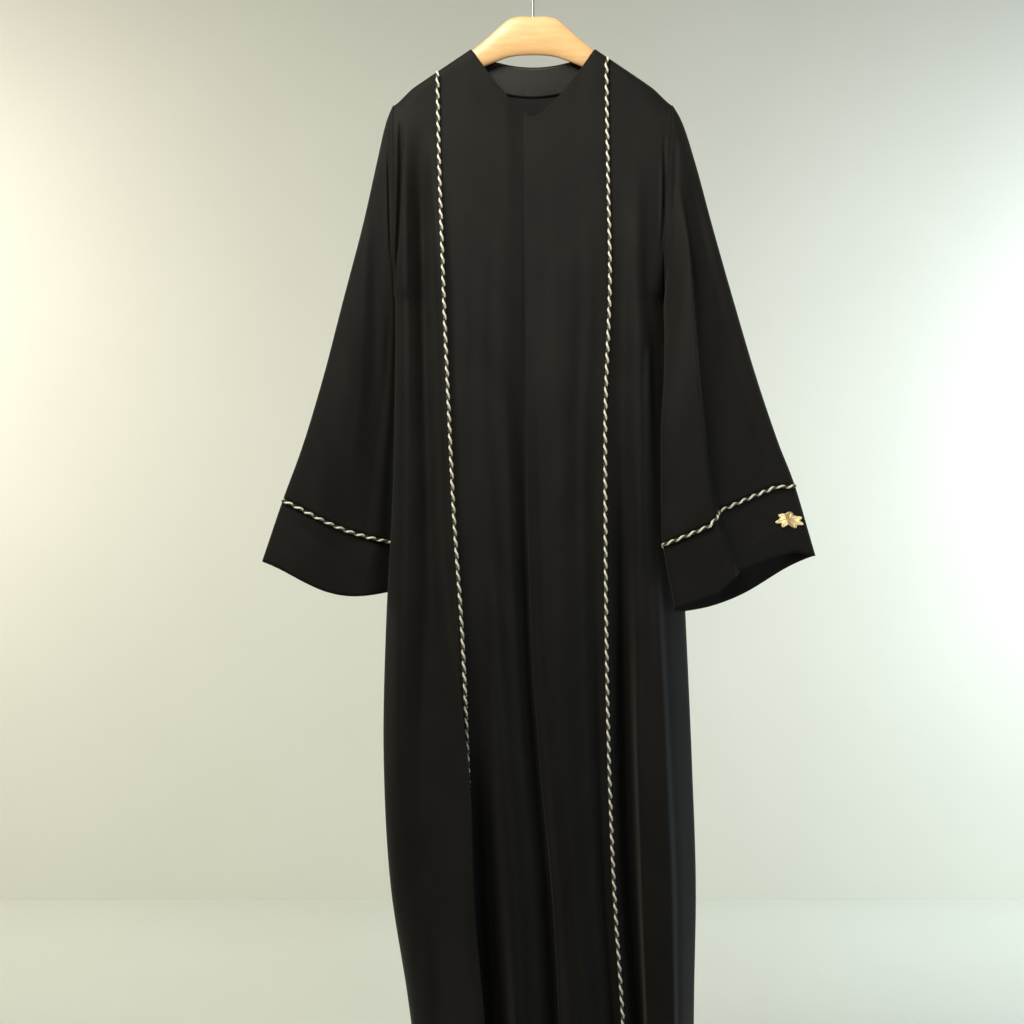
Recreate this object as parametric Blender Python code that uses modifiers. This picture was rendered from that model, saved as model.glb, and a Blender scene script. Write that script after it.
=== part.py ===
"""Abaya cloak on a wooden hanger, as the pieces a maker would cut and sew.

Metres, +Z up. The front faces -Y and +X is the viewer's right, so "left" and "right" below are the
viewer's. The origin is the inside top of the hanger's hook, where a rail would hold it. Heights are
given as a drop: metres below that point.
"""
from typing import NamedTuple

import bmesh
import bpy
import numpy as np
from mathutils import Vector

COLLECTION_NAME = "abaya_cloak"

CLOTH_WALL = 0.0015
FACING_WALL = 0.0012
SEAM_GAP = 0.0003

NECK_HALF_WIDTH = 0.089
NECK_POINT_DROP = 0.122
FRONT_NECK_DEPTH = 0.100
BACK_NECK_DEPTH = 0.022
SHOULDER_TIP_X = 0.1985
SHOULDER_TIP_DROP = 0.196
UNDERARM_DROP = 0.480
HEM_DROP = 1.588
SHOULDER_ROUNDING = 0.013
ARMHOLE_HALF_DEPTH = 0.024
# Where a panel meets a seam its last strip turns square to it, so that the walls meet face to face.
SIDE_TURN_ACROSS = 0.996
SHOULDER_TURN = 0.0008
ARMHOLE_TURN = 0.0025
UNDERLAP_DEPTH = 0.0045

FRONT_CORD_RADIUS = 0.0040
CUFF_CORD_RADIUS = 0.0040
CORD_LIFT = 0.0006
CORD_FIRST_ROW = 4

FACING_ROWS = 7
ORNAMENT_WIDTH = 0.034
ORNAMENT_HEIGHT = 0.021
ORNAMENT_WALL = 0.0012
ORNAMENT_LOBES = 5

HOOK_WIRE_RADIUS = 0.00175


class BodySection(NamedTuple):
    """The body at one height: where its edges and trims run, and how deep it hangs."""
    drop: float
    left_side: float
    left_cord: float
    centre: float
    right_cord: float
    right_side: float
    front_depth: float
    back_depth: float


BODY_SECTIONS = (
    BodySection(0.12, -0.1985, -0.1360, -0.0130, 0.1040, 0.2010, 0.013, 0.013),
    BodySection(0.20, -0.1985, -0.1350, -0.0130, 0.1045, 0.1980, 0.016, 0.016),
    BodySection(0.30, -0.1980, -0.1325, -0.0125, 0.1055, 0.1915, 0.025, 0.024),
    BodySection(0.48, -0.1985, -0.1258, -0.0118, 0.1070, 0.1875, 0.0360, 0.0340),
    BodySection(0.515, -0.2012, -0.1244, -0.0115, 0.1058, 0.1925, 0.0377, 0.0354),
    BodySection(0.55, -0.2020, -0.1230, -0.0112, 0.1045, 0.1965, 0.0390, 0.0365),
    BodySection(0.62, -0.2015, -0.1200, -0.0105, 0.1020, 0.2015, 0.042, 0.039),
    BodySection(0.77, -0.2050, -0.1127, -0.0085, 0.1015, 0.2110, 0.048, 0.045),
    BodySection(0.94, -0.2105, -0.1015, -0.0040, 0.1030, 0.2188, 0.054, 0.051),
    BodySection(1.14, -0.2140, -0.0931, 0.0090, 0.1070, 0.2275, 0.060, 0.058),
    BodySection(1.32, -0.2035, -0.0840, 0.0260, 0.1140, 0.2330, 0.066, 0.064),
    BodySection(1.47, -0.1800, -0.0760, 0.0345, 0.1242, 0.2303, 0.071, 0.070),
    BodySection(1.60, -0.1630, -0.0680, 0.0400, 0.1310, 0.2290, 0.074, 0.075),
)
# Fraction across the front at which the five lines of a section lie: side, cord, centre, cord, side.
SECTION_FRACTIONS = (-1.0, -0.6, 0.0, 0.55, 1.0)


class BodyFold(NamedTuple):
    """A fold down the body: a ridge where `out` is above zero, a valley where it is below.

    `lean` moves its crest sideways, so that a ridge can hang over the valley beside it. It grows
    from nothing at `start_drop` to its full size at `full_drop`, and fades again between
    `fade_drop` and `end_drop`.
    """
    across_top: float
    across_hem: float
    half_width: float
    out_top: float
    out_hem: float
    lean: float
    start_drop: float
    full_drop: float
    fade_drop: float = 2.0
    end_drop: float = 2.1


FRONT_FOLDS = (
    BodyFold(-0.900, -0.905, 0.070, 0.006, 0.012, 0.000, 0.24, 0.45),
    BodyFold(-0.795, -0.805, 0.095, -0.013, -0.020, 0.000, 0.22, 0.40),
    BodyFold(-0.650, -0.640, 0.120, 0.010, 0.012, 0.000, 0.25, 0.45, 1.00, 1.25),
    BodyFold(-0.675, -0.690, 0.120, 0.032, 0.040, 0.036, 0.95, 1.24),
    BodyFold(-0.500, -0.500, 0.110, -0.004, -0.024, 0.000, 0.70, 1.25),
    BodyFold(-0.330, -0.330, 0.120, 0.004, 0.013, 0.000, 0.50, 1.10),
    BodyFold(-0.130, -0.130, 0.110, -0.006, -0.012, 0.000, 0.40, 0.80),
    BodyFold(0.200, 0.200, 0.170, 0.006, 0.014, 0.000, 0.35, 0.70),
    BodyFold(0.470, 0.460, 0.080, -0.005, -0.010, 0.000, 0.40, 0.80),
    BodyFold(0.640, 0.635, 0.085, -0.008, -0.030, 0.000, 0.30, 0.90),
    BodyFold(0.755, 0.755, 0.090, 0.012, 0.016, -0.014, 0.26, 0.60),
    BodyFold(0.870, 0.875, 0.055, 0.004, 0.014, 0.000, 0.80, 1.10),
)
BACK_FOLDS = (
    BodyFold(-0.880, -0.880, 0.090, 0.006, 0.012, 0.000, 0.30, 0.60),
    BodyFold(-0.700, -0.720, 0.110, -0.010, -0.022, 0.000, 0.28, 0.70),
    BodyFold(-0.520, -0.560, 0.120, 0.010, 0.022, 0.012, 0.30, 0.90),
    BodyFold(-0.280, -0.320, 0.130, -0.006, -0.020, 0.000, 0.55, 1.05),
    BodyFold(-0.060, -0.090, 0.130, 0.008, 0.016, 0.000, 0.45, 0.95),
    BodyFold(0.150, 0.160, 0.120, -0.008, -0.018, 0.000, 0.38, 0.85),
    BodyFold(0.370, 0.390, 0.130, 0.009, 0.020, -0.010, 0.32, 0.80),
    BodyFold(0.590, 0.610, 0.110, -0.010, -0.022, 0.000, 0.28, 0.75),
    BodyFold(0.790, 0.800, 0.100, 0.010, 0.017, 0.000, 0.30, 0.65),
)

# Distances down the side edge at which every body panel has a row. The rows of the armhole are
# those of the sleeve's first ring.
ROW_DROPS = (0.0, 0.0008, 0.003, 0.007, 0.014, 0.027, 0.042, 0.0586, 0.0981, 0.142, 0.1859,
             0.2254, 0.257, 0.277, 0.284, 0.320, 0.385, 0.465, 0.555, 0.655, 0.765, 0.885, 1.015,
             1.145, 1.270, 1.392)
LEFT_COLUMNS = (-1.0, -0.996, -0.982, -0.95, -0.915, -0.875, -0.84, -0.80, -0.77, -0.745, -0.725,
                -0.71, -0.697, -0.684, -0.671, -0.657, -0.64, -0.62, -0.60, -0.58, -0.555, -0.52,
                -0.47, -0.425, -0.373, -0.36, -0.34, -0.30, -0.23, -0.165, -0.11, -0.05, 0.0,
                0.06, 0.12)
RIGHT_COLUMNS = (0.0, 0.045, 0.10, 0.16, 0.22, 0.28, 0.34, 0.395, 0.435, 0.462, 0.475, 0.50, 0.55,
                 0.585, 0.62, 0.65, 0.68, 0.71, 0.745, 0.78, 0.82, 0.865, 0.91, 0.95, 0.982,
                 0.996, 1.0)
BACK_COLUMNS = (-1.0, -0.996, -0.982, -0.95, -0.915, -0.87, -0.82, -0.76, -0.70, -0.64, -0.58,
                -0.52, -0.452, -0.438, -0.415, -0.37, -0.29, -0.21, -0.13, -0.05, 0.04, 0.12,
                0.20, 0.28, 0.35, 0.39, 0.414, 0.428, 0.48, 0.55, 0.61, 0.67, 0.73, 0.79, 0.85,
                0.91, 0.95, 0.982, 0.996, 1.0)
LEFT_CORD_ACROSS = -0.60
RIGHT_CORD_ACROSS = 0.55
NECK_COLUMN_ACROSS = 0.43


class SleeveSection(NamedTuple):
    """The sleeve at one station: its outer and inner folds, and half its depth between them."""
    station: float
    outer_x: float
    outer_y: float
    outer_drop: float
    inner_x: float
    inner_y: float
    inner_drop: float
    half_depth: float


LEFT_SLEEVE = (
    SleeveSection(0.00, -0.2010, 0.000, 0.196, -0.2010, 0.000, 0.480, 0.024),
    SleeveSection(0.05, -0.2115, 0.000, 0.232, -0.2030, 0.003, 0.498, 0.025),
    SleeveSection(0.13, -0.2220, 0.000, 0.278, -0.2030, 0.014, 0.530, 0.026),
    SleeveSection(0.28, -0.2430, 0.000, 0.372, -0.1950, 0.036, 0.592, 0.027),
    SleeveSection(0.45, -0.2710, -0.002, 0.480, -0.1925, 0.043, 0.655, 0.027),
    SleeveSection(0.63, -0.3020, -0.004, 0.600, -0.1960, 0.043, 0.725, 0.026),
    SleeveSection(0.76, -0.3290, -0.006, 0.690, -0.1960, 0.043, 0.778, 0.025),
    SleeveSection(0.88, -0.3565, -0.008, 0.770, -0.1960, 0.042, 0.829, 0.024),
    SleeveSection(1.00, -0.3860, -0.008, 0.853, -0.1970, 0.041, 0.893, 0.023),
)
RIGHT_SLEEVE = (
    SleeveSection(0.00, 0.2010, 0.000, 0.196, 0.1895, 0.000, 0.480, 0.024),
    SleeveSection(0.05, 0.2120, 0.000, 0.232, 0.1925, -0.003, 0.498, 0.025),
    SleeveSection(0.13, 0.2260, -0.001, 0.280, 0.1920, -0.013, 0.530, 0.026),
    SleeveSection(0.28, 0.2500, -0.004, 0.372, 0.1830, -0.043, 0.592, 0.027),
    SleeveSection(0.45, 0.2820, -0.008, 0.482, 0.1775, -0.060, 0.655, 0.027),
    SleeveSection(0.63, 0.3180, -0.010, 0.602, 0.1770, -0.060, 0.725, 0.026),
    SleeveSection(0.76, 0.3460, -0.012, 0.684, 0.1775, -0.060, 0.778, 0.025),
    SleeveSection(0.88, 0.3705, -0.014, 0.752, 0.1800, -0.060, 0.829, 0.024),
    SleeveSection(1.00, 0.4010, -0.014, 0.845, 0.1975, -0.058, 0.919, 0.023),
)
CUFF_STATION = 0.88


class SleeveFold(NamedTuple):
    """A fold along the sleeve: how far its crest stands out, and how far the cloth sags there.

    `around` is the place on the front or the back layer, 0 at the outer fold and 1 at the inner.
    """
    front_layer: bool
    around: float
    half_width: float
    out: float
    sag: float
    start: float
    full: float


LEFT_SLEEVE_FOLDS = (
    SleeveFold(True, 0.55, 0.55, 0.000, 0.010, 0.30, 0.88),
    SleeveFold(True, 0.60, 0.55, 0.000, 0.015, 0.86, 1.00),
    SleeveFold(False, 0.50, 0.50, 0.000, 0.012, 0.30, 0.90),
    SleeveFold(True, 0.30, 0.22, 0.005, 0.000, 0.20, 0.60),
    SleeveFold(True, 0.62, 0.20, -0.007, 0.000, 0.10, 0.60),
    SleeveFold(True, 0.84, 0.16, 0.006, 0.000, 0.15, 0.50),
    SleeveFold(False, 0.40, 0.24, -0.010, 0.000, 0.20, 0.60),
)
RIGHT_SLEEVE_FOLDS = (
    SleeveFold(True, 0.30, 0.34, 0.000, -0.012, 0.30, 0.88),
    SleeveFold(True, 0.36, 0.36, 0.000, -0.012, 0.86, 1.00),
    SleeveFold(False, 0.66, 0.36, 0.000, 0.012, 0.30, 1.00),
    SleeveFold(True, 0.80, 0.24, 0.015, 0.000, 0.06, 0.35),
    SleeveFold(True, 0.47, 0.18, -0.012, 0.000, 0.10, 0.40),
    SleeveFold(False, 0.45, 0.26, -0.009, 0.000, 0.20, 0.60),
)
SLEEVE_STATIONS = (0.0, 0.03, 0.065, 0.11, 0.17, 0.24, 0.32, 0.41, 0.51, 0.61, 0.71, 0.80,
                   0.878)
CUFF_STATIONS = (0.882, 0.92, 0.96, 1.0)
SLEEVE_POINTS_AROUND = 20


class BarSection(NamedTuple):
    """The hanger's bar at one distance from its middle."""
    distance: float
    top_drop: float
    bottom_drop: float
    half_thickness: float


BAR_SECTIONS = (
    BarSection(0.000, 0.0750, 0.1300, 0.0068),
    BarSection(0.022, 0.0752, 0.1310, 0.0068),
    BarSection(0.034, 0.0785, 0.1330, 0.0066),
    BarSection(0.046, 0.0880, 0.1370, 0.0064),
    BarSection(0.066, 0.1062, 0.1450, 0.0062),
    BarSection(0.089, 0.1246, 0.1570, 0.0060),
    BarSection(0.130, 0.1523, 0.1810, 0.0057),
    BarSection(0.160, 0.1726, 0.1990, 0.0052),
    BarSection(0.176, 0.1840, 0.2080, 0.0046),
    BarSection(0.184, 0.1910, 0.2070, 0.0034),
)
BAR_POINTS_AROUND = 12

# The hook's wire: its middle line, from the bar up and round, as (x, drop).
HOOK_LINE = ((0.0, 0.0747), (0.0, 0.0600), (-0.0004, 0.0500), (-0.0035, 0.0430), (-0.0095, 0.0360),
             (-0.0150, 0.0275), (-0.01775, 0.0160), (-0.0154, 0.0071), (-0.0089, 0.0006),
             (0.0, -0.00175), (0.0089, 0.0006), (0.0154, 0.0071), (0.01775, 0.0160),
             (0.0163, 0.0235), (0.0130, 0.0290))


class Colour(NamedTuple):
    """A material's base colour (linear), roughness and metallic value."""
    red: float
    green: float
    blue: float
    roughness: float
    metallic: float


MATERIALS = {
    "cloth_black": Colour(0.012, 0.012, 0.011, 0.75, 0.0),
    "facing_black": Colour(0.020, 0.020, 0.019, 0.55, 0.0),
    "cord_twist": Colour(0.330, 0.310, 0.250, 0.55, 0.1),
    "gold_trim": Colour(0.560, 0.400, 0.130, 0.35, 0.8),
    "hanger_wood": Colour(0.700, 0.460, 0.210, 0.50, 0.0),
    "hook_wire": Colour(0.450, 0.450, 0.450, 0.30, 1.0),
}


def smooth_curve(knots, values, at):
    """Return the smooth curve through (knots, values) at each number in `at`; knots rise."""
    knots = np.asarray(knots, dtype=float)
    values = np.asarray(values, dtype=float)
    slopes = np.gradient(values, knots)
    at = np.clip(at, knots[0], knots[-1])
    index = np.clip(np.searchsorted(knots, at, side="right") - 1, 0, len(knots) - 2)
    span = knots[index + 1] - knots[index]
    part = (at - knots[index]) / span
    return ((1 + 2 * part) * (1 - part) ** 2 * values[index]
            + part * (1 - part) ** 2 * span * slopes[index]
            + part ** 2 * (3 - 2 * part) * values[index + 1]
            + part ** 2 * (part - 1) * span * slopes[index + 1])


def bell(distance):
    """Return a smooth bump: 1 at distance 0, nothing from distance 1 on, on either side."""
    return np.cos(np.clip(np.abs(distance), 0.0, 1.0) * np.pi / 2) ** 2


def ramp(value, start, full):
    """Return a smooth rise from 0 at `start` to 1 at `full`."""
    part = np.clip((value - start) / (full - start), 0.0, 1.0)
    return part * part * (3 - 2 * part)


def table_column(table, name):
    """Return one named column of a table of sections."""
    return [getattr(row, name) for row in table]


def body_value(name, drop):
    """Return a named size of the body at each drop."""
    return smooth_curve(table_column(BODY_SECTIONS, "drop"), table_column(BODY_SECTIONS, name), drop)


def front_x(across, drop):
    """Return x at a fraction across the front, from the five lines of each section."""
    lines = ("left_side", "left_cord", "centre", "right_cord", "right_side")
    total = 0.0
    for index, line in enumerate(lines):
        weights = [1.0 if other == index else 0.0 for other in range(len(lines))]
        total = total + smooth_curve(SECTION_FRACTIONS, weights, across) * body_value(line, drop)
    return total


def back_x(across, drop):
    """Return x at a fraction across the back, which shares the front's side edges."""
    left, right = body_value("left_side", drop), body_value("right_side", drop)
    return left + (right - left) * (across + 1) / 2


def shoulder_drop(x):
    """Return how far down the shoulder line is at x; level over the neck."""
    return np.interp(np.abs(x), (NECK_HALF_WIDTH, SHOULDER_TIP_X),
                     (NECK_POINT_DROP, SHOULDER_TIP_DROP))


def front_top_drop(x):
    """Return the drop of the front's top edge: the shoulder seam, and the neckline between."""
    inside = np.clip(np.abs(x) / NECK_HALF_WIDTH, 0.0, 1.0)
    return shoulder_drop(x) + FRONT_NECK_DEPTH * (1 - inside ** 1.35)


def back_top_drop(x):
    """Return the drop of the back's top edge: the shoulder seam, and the back neck between."""
    inside = np.clip(np.abs(x) / NECK_HALF_WIDTH, 0.0, 1.0)
    return shoulder_drop(x) + BACK_NECK_DEPTH * (1 - inside ** 2)


def armhole_half_depth(drop, top):
    """Return how far the armhole's edge stands from the middle plane, below a shoulder at `top`."""
    down = np.clip((drop - top) / (UNDERARM_DROP - top), 0.0, 1.0)
    return ARMHOLE_HALF_DEPTH * 2 * np.sqrt(down * (1 - down))


def fold_offsets(folds, across, drop):
    """Return how far the folds move the cloth out of its panel and sideways."""
    out, aside = np.zeros_like(drop), np.zeros_like(drop)
    for fold in folds:
        grown = ramp(drop, fold.start_drop, fold.full_drop)
        grown = grown * (1 - ramp(drop, fold.fade_drop, fold.end_drop))
        down = np.clip((drop - fold.start_drop) / (HEM_DROP - fold.start_drop), 0.0, 1.0)
        middle = fold.across_top + (fold.across_hem - fold.across_top) * down
        shape = bell((across - middle) / fold.half_width) * grown
        out = out + shape * (fold.out_top + (fold.out_hem - fold.out_top) * down)
        aside = aside + shape * fold.lean
    return out, aside


def body_depth(across, drop, x, depth_name):
    """Return how far the panel stands from the middle plane, before its folds.

    Below the underarm it rounds in to the side seam. Along the armhole it runs out level, so that
    the sleeve carries it on.
    """
    below = np.clip((drop - shoulder_drop(x)) / SHOULDER_ROUNDING, 0.0, 1.0)
    full = body_value(depth_name, drop) * np.sqrt(1 - (1 - below) ** 2)
    edge = armhole_half_depth(drop, shoulder_drop(x))
    rounded = np.sqrt(np.clip(1 - across ** 4, 0.0, 1.0))
    level = 1 - ramp(np.abs(across), 0.76, 0.98)
    open_edge = 1 - ramp(drop, 0.36, 0.47)
    return edge + (full - edge) * (rounded + (level - rounded) * open_edge)


def panel_place(x_of, across, drop):
    """Return x and z of a panel's points, with its last strips turned square to the seams."""
    turned = np.clip(across, -SIDE_TURN_ACROSS, SIDE_TURN_ACROSS)
    x = x_of(np.where(drop < UNDERARM_DROP - SEAM_GAP, across, turned), drop)
    return x, -np.maximum(drop, shoulder_drop(x) + SHOULDER_TURN)


def front_points(across, drop):
    """Return points of the front's outer face."""
    x, z = panel_place(front_x, across, drop)
    out, aside = fold_offsets(FRONT_FOLDS, across, drop)
    y = -SEAM_GAP / 2 - body_depth(across, drop, x, "front_depth") - out
    return np.stack((x + aside, y, z), axis=-1)


def left_front_points(across, drop):
    """Return the left front, which passes under the right front at the centre."""
    points = front_points(across, drop)
    points[..., 1] += UNDERLAP_DEPTH * ramp(across, -0.07, 0.0)
    return points


def back_points(across, drop):
    """Return points of the back's outer face."""
    x, z = panel_place(back_x, across, drop)
    out, aside = fold_offsets(BACK_FOLDS, across, drop)
    y = SEAM_GAP / 2 + body_depth(across, drop, x, "back_depth") + out
    return np.stack((x + aside, y, z), axis=-1)


def panel_grid(surface, columns, x_of, top_drop_of):
    """Return a panel's rows and columns of points, from its top edge to the hem."""
    across = np.asarray(columns)[None, :]
    down = (np.asarray(ROW_DROPS) / ROW_DROPS[-1])[:, None]
    top = top_drop_of(x_of(across, np.full_like(across, 0.16)))
    drop = top + (HEM_DROP - top) * down
    return surface(np.broadcast_to(across, drop.shape), drop)


def sleeve_grid(table, folds, stations):
    """Return the sleeve's rings of points, one a station, from its outer fold round the front."""
    station = np.asarray(stations)[:, None]
    angle = np.linspace(0.0, 2 * np.pi, SLEEVE_POINTS_AROUND, endpoint=False)[None, :]
    inward, front = (1 - np.cos(angle)) / 2, np.sin(angle)

    def size(name):
        return smooth_curve(table_column(table, "station"), table_column(table, name), station)

    x = size("outer_x") * (1 - inward) + size("inner_x") * inward
    y = size("outer_y") * (1 - inward) + size("inner_y") * inward - size("half_depth") * front
    drop = size("outer_drop") * (1 - inward) + size("inner_drop") * inward
    for fold in folds:
        layer = np.clip(front if fold.front_layer else -front, 0.0, 1.0) ** 0.5
        shape = bell((inward - fold.around) / fold.half_width) * layer
        shape = shape * ramp(station, fold.start, fold.full)
        y = y + shape * (-fold.out if fold.front_layer else fold.out)
        drop = drop + shape * fold.sag
    grid = np.stack((x, y, -drop), axis=-1)
    if stations[0] == 0.0:
        side = "right_side" if table[0].outer_x > 0 else "left_side"
        edge = grid[:1].copy()
        edge[..., 0] = body_value(side, -edge[..., 2]) + np.sign(table[0].outer_x) * SEAM_GAP
        grid[0, :, 0] = edge[0, :, 0] + np.sign(table[0].outer_x) * ARMHOLE_TURN
        grid = np.concatenate((edge, grid))
    return grid


def grid_normals(grid, closed, outward):
    """Return unit normals of a grid, on the side that `outward` (a sample direction) names."""
    if closed:
        along_ring = np.roll(grid, -1, axis=1) - np.roll(grid, 1, axis=1)
    else:
        along_ring = np.gradient(grid, axis=1)
    normals = np.cross(np.gradient(grid, axis=0), along_ring)
    normals /= np.linalg.norm(normals, axis=-1, keepdims=True)
    row, column = grid.shape[0] // 2, grid.shape[1] // 4
    if np.dot(normals[row, column], outward) < 0:
        normals = -normals
    return normals


def make_material(name):
    """Create one Principled material from the table."""
    colour = MATERIALS[name]
    material = bpy.data.materials.new(name)
    material.use_nodes = True
    shader = material.node_tree.nodes["Principled BSDF"]
    shader.inputs["Base Color"].default_value = (colour.red, colour.green, colour.blue, 1.0)
    shader.inputs["Roughness"].default_value = colour.roughness
    shader.inputs["Metallic"].default_value = colour.metallic
    material.diffuse_color = (colour.red, colour.green, colour.blue, 1.0)
    return material


def add_object(name, data, material, collection):
    """Add an object with its own copy of a material."""
    piece = bpy.data.objects.new(name, data)
    own = material.copy()
    own.name = f"{name}_{material.name}"
    data.materials.append(own)
    collection.objects.link(piece)
    return piece


def grid_mesh(name, grid, closed, outward):
    """Build an open surface from a grid, facing `outward`."""
    rows, columns = grid.shape[:2]
    mesh = bmesh.new()
    points = [[mesh.verts.new(point) for point in row] for row in grid.tolist()]
    for row in range(rows - 1):
        for column in range(columns if closed else columns - 1):
            after = (column + 1) % columns
            mesh.faces.new((points[row][column], points[row][after],
                            points[row + 1][after], points[row + 1][column]))
    mesh.normal_update()
    mesh.faces.ensure_lookup_table()
    sample = mesh.faces[(rows // 2) * (columns if closed else columns - 1) + columns // 4]
    if sample.normal.dot(Vector(outward)) < 0:
        bmesh.ops.reverse_faces(mesh, faces=mesh.faces[:])
    data = bpy.data.meshes.new(name)
    mesh.to_mesh(data)
    mesh.free()
    data.shade_smooth()
    return data


def add_cloth(name, grid, closed, outward, wall, material, collection):
    """Add a piece of cloth: the grid is its outer face, and its wall lies inside."""
    piece = add_object(name, grid_mesh(name, grid, closed, outward), material, collection)
    solidify = piece.modifiers.new("wall", "SOLIDIFY")
    solidify.thickness = wall
    solidify.offset = -1.0
    return piece


def add_wire(name, points, radius, closed, sides_resolution, material, collection):
    """Add a round cord or wire along a line of points."""
    data = bpy.data.curves.new(name, "CURVE")
    data.dimensions = "3D"
    data.bevel_depth = radius
    data.bevel_resolution = sides_resolution
    data.render_resolution_u = 0
    data.use_fill_caps = not closed
    spline = data.splines.new("POLY")
    spline.points.add(len(points) - 1)
    for control, point in zip(spline.points, points):
        control.co = (*point, 1.0)
    spline.use_cyclic_u = closed
    return add_object(name, data, material, collection)


def cord_line(points, normals, radius):
    """Return a cord's middle line, lying on the cloth at these points."""
    return points + normals * (radius + CORD_LIFT)


def facing_grid(back):
    """Return the back neck facing: the back's own points by the neck, moved inside it."""
    columns = [index for index, across in enumerate(BACK_COLUMNS)
               if abs(across) < NECK_COLUMN_ACROSS]
    inward = -grid_normals(back, False, (0, 1, 0))
    part = (slice(0, FACING_ROWS), slice(columns[0], columns[-1] + 1))
    return back[part] + inward[part] * (CLOTH_WALL + SEAM_GAP)


def grid_place(grid, row, column):
    """Return the value between a grid's points at fractional row and column numbers."""
    low_row = np.clip(np.floor(row).astype(int), 0, grid.shape[0] - 2)
    low_column = np.floor(column).astype(int)
    down, along = (row - low_row)[..., None], (column - low_column)[..., None]
    near, far = low_column % grid.shape[1], (low_column + 1) % grid.shape[1]
    upper = grid[low_row, near] * (1 - along) + grid[low_row, far] * along
    lower = grid[low_row + 1, near] * (1 - along) + grid[low_row + 1, far] * along
    return upper * (1 - down) + lower * down


def add_ornament(name, cuff, material, collection):
    """Add the lobed leaf ornament, laid on the cuff's front near its outer fold."""
    normals = grid_normals(cuff, True, (0, -1, 0))
    middle_row = cuff[1]
    steps = np.linalg.norm(np.diff(middle_row[:6], axis=0), axis=1)
    arc = np.concatenate(([0.0], np.cumsum(steps)))
    row_height = np.linalg.norm(cuff[2, 2] - cuff[1, 2])
    angles = np.linspace(0.0, 2 * np.pi, 30, endpoint=False)[None, :]
    scales = np.array((0.34, 0.68, 1.0))[:, None]
    reach = 0.72 + 0.28 * np.cos(ORNAMENT_LOBES * angles)
    aside = 0.024 + scales * reach * np.cos(angles) * ORNAMENT_WIDTH / 2
    fall = scales * reach * np.sin(angles) * ORNAMENT_HEIGHT / 2
    column = np.interp(aside, arc, np.arange(len(arc)))
    row = 1.35 + fall / row_height
    face = grid_place(cuff, row, column)
    lift = grid_place(normals, row, column)
    rings = face + lift * SEAM_GAP * 2
    centre = rings[0].mean(axis=0)
    mesh = bmesh.new()
    points = [[mesh.verts.new(point) for point in ring] for ring in rings.tolist()]
    hub = mesh.verts.new(centre)
    count = len(points[0])
    for index in range(count):
        after = (index + 1) % count
        mesh.faces.new((hub, points[0][index], points[0][after]))
        for inner, outer in zip(points, points[1:]):
            mesh.faces.new((inner[index], outer[index], outer[after], inner[after]))
    mesh.normal_update()
    mesh.faces.ensure_lookup_table()
    if mesh.faces[0].normal.dot(Vector(lift[0, 0])) < 0:
        bmesh.ops.reverse_faces(mesh, faces=mesh.faces[:])
    data = bpy.data.meshes.new(name)
    mesh.to_mesh(data)
    mesh.free()
    piece = add_object(name, data, material, collection)
    solidify = piece.modifiers.new("wall", "SOLIDIFY")
    solidify.thickness = ORNAMENT_WALL
    solidify.offset = 1.0
    return piece


def add_bar(name, material, collection):
    """Add the hanger's wooden bar: rounded sections joined from tip to tip."""
    half = [row for row in BAR_SECTIONS if row.distance > 0]
    sections = [(-row.distance, row) for row in reversed(half)]
    sections += [(0.0, BAR_SECTIONS[0])] + [(row.distance, row) for row in half]
    angles = np.linspace(0.0, 2 * np.pi, BAR_POINTS_AROUND, endpoint=False)
    mesh = bmesh.new()
    rings = []
    for x, row in sections:
        middle = -(row.top_drop + row.bottom_drop) / 2
        half_height = (row.bottom_drop - row.top_drop) / 2
        rings.append([mesh.verts.new((x, row.half_thickness * side, middle + half_height * rise))
                      for side, rise in zip(np.cos(angles), np.sin(angles))])
    for first, second in zip(rings, rings[1:]):
        for index in range(BAR_POINTS_AROUND):
            after = (index + 1) % BAR_POINTS_AROUND
            mesh.faces.new((first[index], first[after], second[after], second[index]))
    mesh.faces.new(list(reversed(rings[0])))
    mesh.faces.new(rings[-1])
    bmesh.ops.recalc_face_normals(mesh, faces=mesh.faces[:])
    data = bpy.data.meshes.new(name)
    mesh.to_mesh(data)
    mesh.free()
    data.shade_smooth()
    return add_object(name, data, material, collection)


def smooth_line(points, steps):
    """Return a smooth line through 2D points, with `steps` points between each pair."""
    points = np.asarray(points)
    lengths = np.linalg.norm(np.diff(points, axis=0), axis=1)
    along = np.concatenate(([0.0], np.cumsum(lengths)))
    at = np.linspace(0.0, along[-1], (len(points) - 1) * steps + 1)
    return np.stack([smooth_curve(along, points[:, axis], at) for axis in (0, 1)], axis=-1)


def add_hook(name, material, collection):
    """Add the hanger's wire hook."""
    line = smooth_line(HOOK_LINE, 3)
    points = [(x, 0.0, -drop) for x, drop in line]
    return add_wire(name, points, HOOK_WIRE_RADIUS, False, 2, material, collection)


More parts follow.
